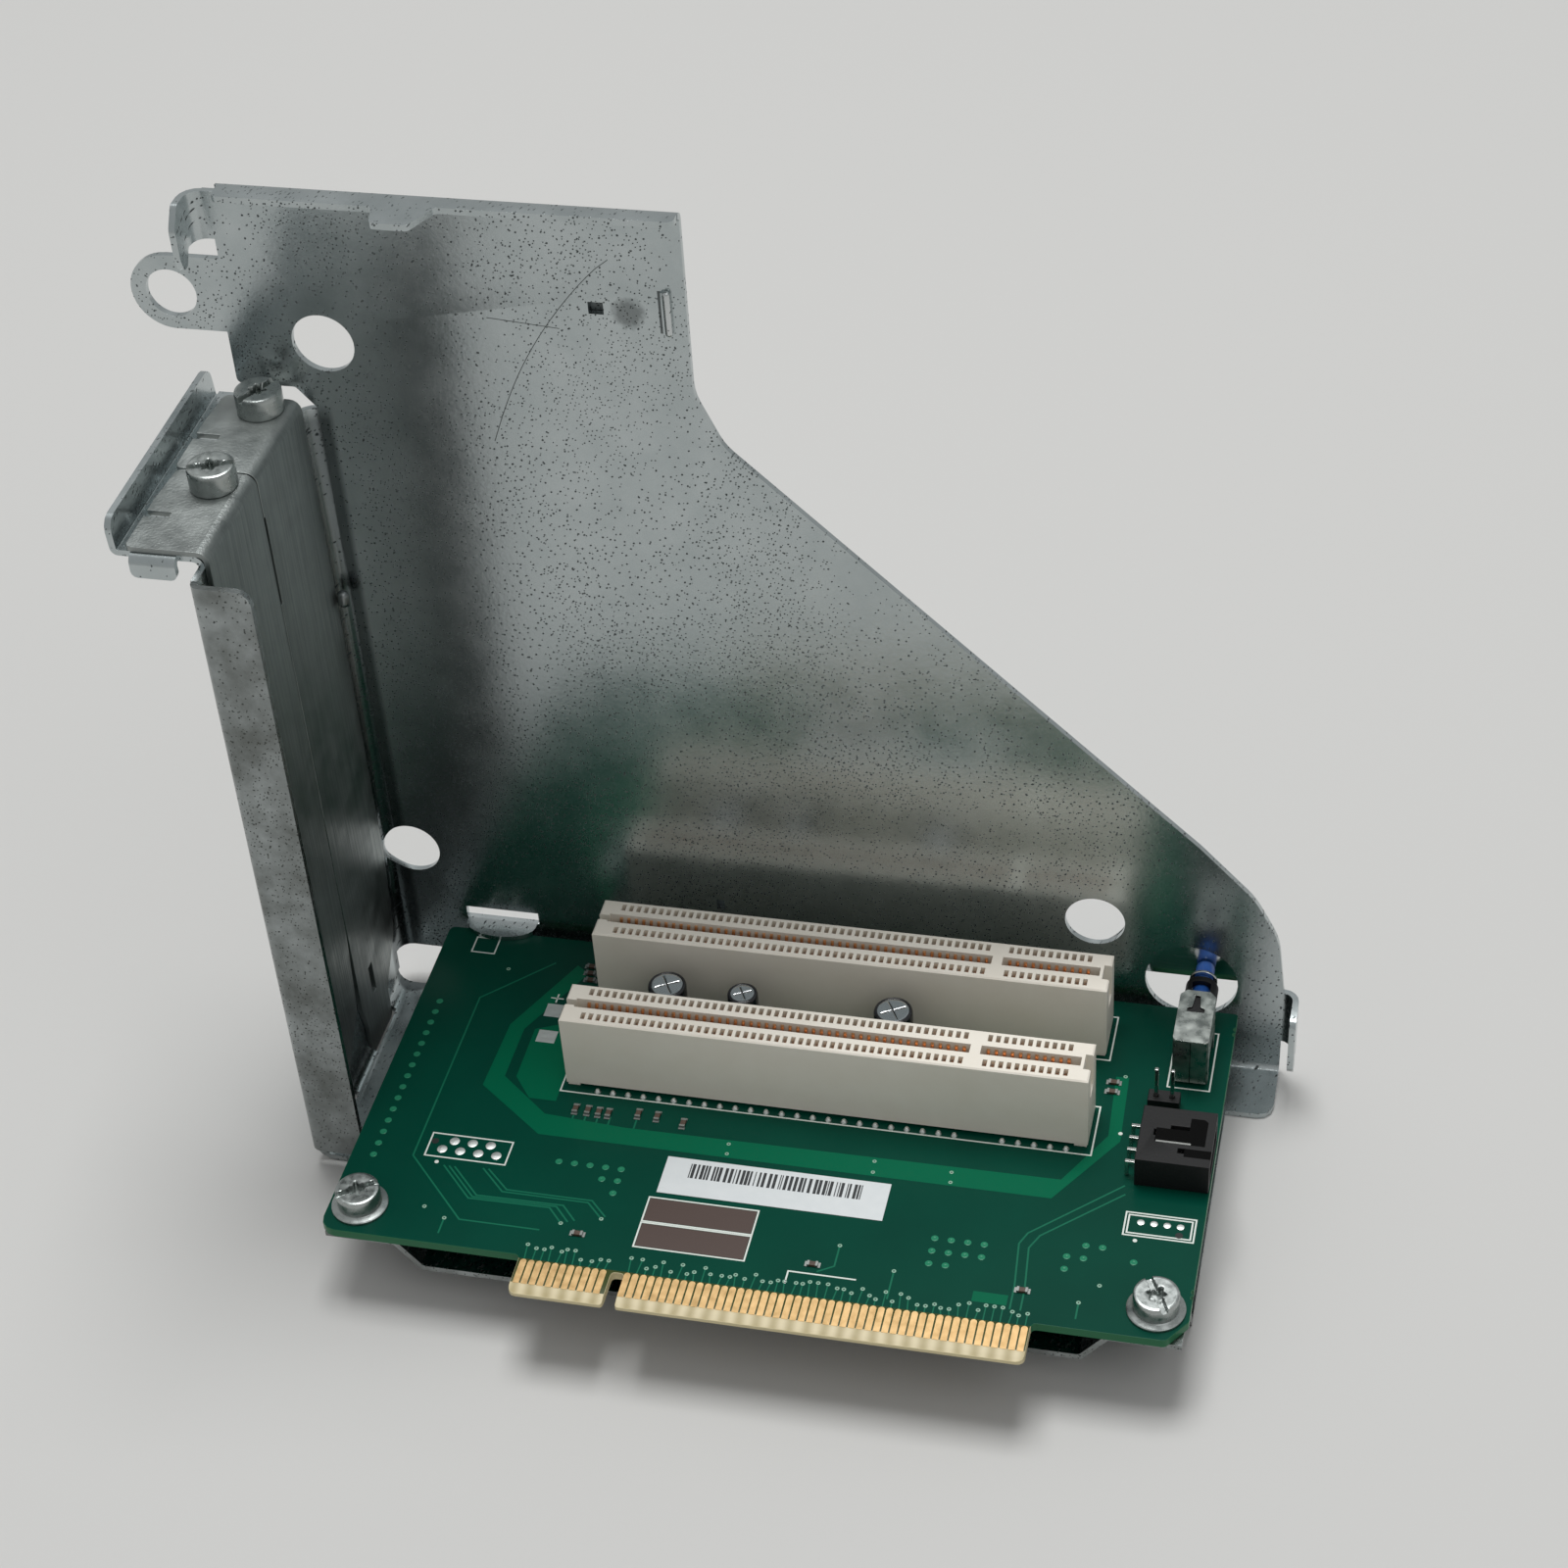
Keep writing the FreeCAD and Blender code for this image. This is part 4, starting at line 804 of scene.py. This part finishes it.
def spring(profile, wide):
    """A strip 0.14 mm thick: the (y, z) profile moved by half the thickness both ways."""
    profile = np.asarray(profile, float)
    step = np.gradient(profile, axis=0)
    side = np.stack([-step[:, 1], step[:, 0]], -1) / np.linalg.norm(step, axis=1, keepdims=True)
    a, b = profile + 0.07 * side, profile - 0.07 * side
    count = len(profile)
    left, right = np.full(count, -wide / 2), np.full(count, wide / 2)
    ring = np.stack([np.c_[left, a], np.c_[right, a], np.c_[right, b], np.c_[left, b]], 1)
    caps = np.array([[3, 2, 1, 0], [count * 4 - 4 + k for k in range(4)]])
    sides = np.array(grid_faces(count, 4, round_v=True))[:, ::-1]
    return ring.reshape(-1, 3), np.vstack([sides, caps])


in_window = [(3.25, -6.0), (3.1, -2.4), (2.95, -1.3), (2.65, -0.75), (2.35, -0.95), (2.12, -1.7),
             (2.08, -3.4)]
in_groove = [(1.0, -0.6), (0.72, -0.95), (0.48, -1.8), (0.44, -2.7), (0.66, -3.9), (1.0, -5.2)]
for yc, side in SLOT_ROWS:
    shapes, joins, start = [], [], 0
    for turn in (-1, 1):
        for profile in (in_window, in_groove):
            points, faces = spring([(yc + turn * y, HOUSING_TOP + z) for y, z in profile], 0.5)
            shapes.append(points)
            joins.append(faces + start)
            start += len(points)
    springs = copies("slot_springs_" + side, np.vstack(shapes), np.vstack(joins),
                     [(x, 0, 0) for x in window_x], spring_bronze)
    merge(springs, 30)
    fasten(springs, instead="slot_contacts_" + side)


# Capacitors. Aluminium cans in a black heat shrunk sleeve that leaves the top bare. The sleeve
# sinks into the crimp near the foot, and the top is scored with a cross to vent.

# Shrunk film: glossy, with slow ripples of 3 mm. Pressed aluminium: nearly a mirror.
can_sleeve = finish("black_shrink_sleeve", "#16171b", 0.22, Coat_Weight=0.3, cells=320.0,
                    detail=1.0, relief=(0.12, 0.0003))
can_top = finish("pressed_aluminium", "#d6d9db", 0.14, 1.0, cells=1500.0, relief=(0.15, 0.0001))
a = np.linspace(0, 2 * np.pi, 72, endpoint=False)
for name in ("capacitor_left", "capacitor_middle", "capacitor_right"):
    low, high = (np.array(corner) * 1000 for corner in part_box(name))
    mid, radius = (low + high) / 2, (high[0] - low[0]) / 2
    z0, z1 = low[2], high[2]
    profile = np.array([(0, z0), (radius - 0.3, z0), (radius - 0.05, z0 + 0.15),
                        (radius, z0 + 0.5), (radius, z0 + 1.2), (radius - 0.32, z0 + 1.65),
                        (radius - 0.32, z0 + 1.9), (radius, z0 + 2.4), (radius, z1 - 0.5),
                        (radius - 0.1, z1 - 0.15), (radius - 0.35, z1),
                        (radius - 0.55, z1 - 0.02), (radius - 0.62, z1 - 0.12),
                        (0, z1 - 0.12)])
    r, z = profile.T
    points = np.stack([mid[0] + r[:, None] * np.cos(a), mid[1] + r[:, None] * np.sin(a),
                       np.repeat(z[:, None], len(a), 1)], -1)
    sleeve = piece(name + "_sleeve", points, grid_faces(len(r), len(a), round_v=True),
                   can_sleeve, True)
    merge(sleeve, 50)
    # The lid's height falls by up to 0.16 mm near either line of a cross turned by 0.5 rad.
    r = np.linspace(0, radius - 0.6, 16)
    points = np.stack([r[:, None] * np.cos(a), r[:, None] * np.sin(a)], -1)
    turned = points @ np.array([[math.cos(0.5), -math.sin(0.5)], [math.sin(0.5), math.cos(0.5)]])
    cross = np.clip(1 - np.abs(turned).min(-1) / 0.14, 0, 1) * (r[:, None] < radius - 0.9)
    rise = z1 - 0.05 - 0.16 * cross - 0.04 * (r[:, None] > radius - 0.75)
    lid = np.concatenate([points, rise[..., None]], -1)
    under = np.concatenate([points[::-1], np.full((len(r), len(a), 1), z1 - 0.3)], -1)
    lid = np.concatenate([lid, under]) + [mid[0], mid[1], 0]
    top = piece(name + "_top", lid, grid_faces(2 * len(r), len(a), round_v=True), can_top, True)
    merge(top, 50)
    fasten(sleeve, instead=name)
    fasten(top)


# Audio connector and jumper header. Shrouds of black glass filled nylon with square brass pins,
# tinned, bent at a right angle in the audio connector.

# Nylon: fine matt grain of 0.4 mm, drawn coarse enough to show. Tinned brass: soft waves of 1 mm.
black_nylon = finish("black_moulded_nylon", "#131314", 0.5, Specular_IOR_Level=0.3, cells=2600.0,
                     relief=(0.2, 0.0001))
# Near-black nylon that paints the shade inside recesses.
recess_shade_paint = finish("painted_shade_nylon_recess", "#040404", 0.8, Specular_IOR_Level=0.1)
pin_tin = finish("tinned_pin_brass", "#c9cac6", 0.22, 1.0, cells=900.0, relief=(0.2, 0.0002))
softened("audio_shroud", 0.12, black_nylon)
softened("jumper_base", 0.15, black_nylon)

# Painted shade: near-black plates laid on the shroud's top stand for the dark inside its keyways,
# which are not cut here.
long_key = [(71.8, -1.8), (79.6, -1.8), (79.6, 3.4), (79.0, 3.9), (76.9, 3.9), (76.9, 1.2),
            (71.8, 1.2)]
short_key = box_outline(76.6, 80.75, -4.3, -2.6)
fasten(plates("keyway_painted_shade", [long_key, short_key], 19.9, 20.03, recess_shade_paint))
fasten(strip("shroud_latch", [[(72.0, -1.6), (77.4, -1.6)]], 0.35, 19.95, 20.05, pin_tin))
softened("audio_pins", 0.08, pin_tin)
softened("jumper_pins", 0.14, pin_tin)


# Hood sensor switch. A nickel plated steel cover bent over a black nylon body, with a collar that
# guides a blue acetal plunger. The plunger carries a thin spring steel ring.

# Dull nickel, clouded every 1.5 mm; clean blue acetal, slightly uneven; bright rolled spring steel.
can_nickel = finish("nickel_plated_cover", "#b9beba", 0.30, 1.0, cells=650.0, detail=5.0,
                    tones=("#9b9f9b", "#bfc4bf"), rough=(0.2, 0.42))
plunger_blue = finish("blue_moulded_acetal", "#2458a8", 0.30, Subsurface_Weight=0.05,
                      cells=500.0, tones=("#1c4a94", "#3068ba"))
ring_steel = finish("bright_spring_steel", "#d4d6d6", 0.16, 1.0)
softened("switch_can", 0.1, can_nickel)
leaves = plates("switch_front", [box_outline(72.45, 74.96, 14.9, 23.95),
                                 box_outline(75.12, 77.65, 14.9, 23.95)], 0.0, 0.22, can_nickel)
upright(leaves, 0.01682)
fasten(leaves)
softened("switch_body", 0.12, black_nylon)
softened("switch_bushing", 0.15, black_nylon)


def along_y(name, x, z, profile, material):
    """A turned shape whose axis lies along Y: radius r(k) at y(k)."""
    y, r = np.asarray(profile, float).T
    a = np.linspace(0, 2 * np.pi, 56, endpoint=False)
    points = np.stack([x + r[:, None] * np.cos(a), np.repeat(y[:, None], len(a), 1),
                       z + r[:, None] * np.sin(a)], -1)
    made = piece(name, points, grid_faces(len(y), len(a), round_v=True), material, True)
    merge(made)
    return made


PLUNGER_X, PLUNGER_Z, STEM = 75.05, 20.0, 1.55
low, high = (corner[1] * 1000 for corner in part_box("switch_plunger"))
stem = along_y("plunger_stem", PLUNGER_X, PLUNGER_Z, [
    (low, 0), (low, 1.4), (low + 0.15, STEM), (34.5, STEM), (34.55, 1.35), (35.15, 1.35),
    (35.2, STEM), (high - 0.5, STEM), (high - 0.2, 1.42), (high - 0.05, 1.1), (high, 0.6),
    (high, 0)], plunger_blue)
ring = along_y("plunger_ring", PLUNGER_X, PLUNGER_Z, [
    (34.62, 1.36), (34.62, 2.2), (34.7, 2.28), (35.0, 2.28), (35.08, 2.2), (35.08, 1.36),
    (34.62, 1.36)], ring_steel)
fasten(stem, "plunger", "switch_plunger")
fasten(ring, "plunger")

leaf_polish, main = shader("polished_spring_steel", "#d6d8d8", 0.10, 1.0)
place = node(leaf_polish, "TexCoord")
# Polishing lines 0.6 mm apart that run along the leaf.
turn = node(leaf_polish, "Mapping", {"Vector": (place, "Object"),
                                     "Scale": (60.0, 1800.0, 1800.0)})
streak = node(leaf_polish, "TexNoise", {"Vector": (turn, "Vector"), "Scale": 1.0, "Detail": 3.0})
rough = node(leaf_polish, "MapRange", {0: (streak, "Fac"), 1: 0.3, 2: 0.7, 3: 0.08, 4: 0.2})
wire(leaf_polish, (rough, 0), (main, "Roughness"))
softened("sensor_leaf", 0.06, leaf_polish)


# Label. A white polyester label with a plain row of bars, laid on the board's bare middle. The
# film is faintly clouded every 3 mm, and the bars are matt ink.

label_white = finish("white_label_polyester", "#dadfe0", 0.5, cells=350.0, detail=3.0,
                     tones=("#d2d8da", "#e2e6e7"))
label_ink = finish("black_label_ink", "#202427", 0.5)
softened("board_label", 0.03, label_white)
rng = np.random.default_rng(11)
edges = np.cumsum(np.concatenate([[0.6], rng.choice([0.16, 0.32, 0.48], 96)]))
edges = edges[edges < 28.4]
edges = edges[:len(edges) // 2 * 2].reshape(-1, 2)
fasten(plates("label_bars", [box_outline(x0, x1, -16.2, -13.2) for x0, x1 in edges],
              BOARD_TOP + 0.10, BOARD_TOP + 0.135, label_ink))


# Small chips. Fired ceramic blocks with tinned ends, each in a drop of solder on its two pads.
# The ceramic is matt and flecked every 0.6 mm, and its ends have gone dull.

chip_ceramic = finish("brown_chip_ceramic", "#7b5c43", 0.5, cells=1600.0,
                      tones=("#3c2f27", "#5d4839"))
end_tin = finish("dull_tinned_ends", "#8e928f", 0.45, 1.0)
softened("chip_parts", 0.07, chip_ceramic)
along_board_y = [(-20.8, -4.7), (-18.75, -4.7), (-16.9, -4.8), (-15.3, -4.8), (-10.5, -4.1),
                 (-7.35, -4.2), (-2.9, -5.0)]
along_board_x = [(-26.9, 27.8), (-26.7, 26.2), (-26.3, 24.6), (-13.4, -30.4), (23.7, -30.3),
                 (55.8, -30.0), (63.27, 15.2), (63.27, 13.1)]
for name, off, thick, wide, low, high in (("chip_ends", 0.66, 0.18, 0.45, 0.01, 0.49),
                                          ("chip_feet", 0.98, 0.24, 0.5, -0.01, 0.12)):
    boxes = [box_outline(x - wide, x + wide, y + s * off - thick, y + s * off + thick)
             for x, y in along_board_y for s in (-1, 1)]
    boxes += [box_outline(x + s * off - thick, x + s * off + thick, y - wide, y + wide)
              for x, y in along_board_x for s in (-1, 1)]
    fasten(plates(name, boxes, BOARD_TOP + low, BOARD_TOP + high, end_tin))
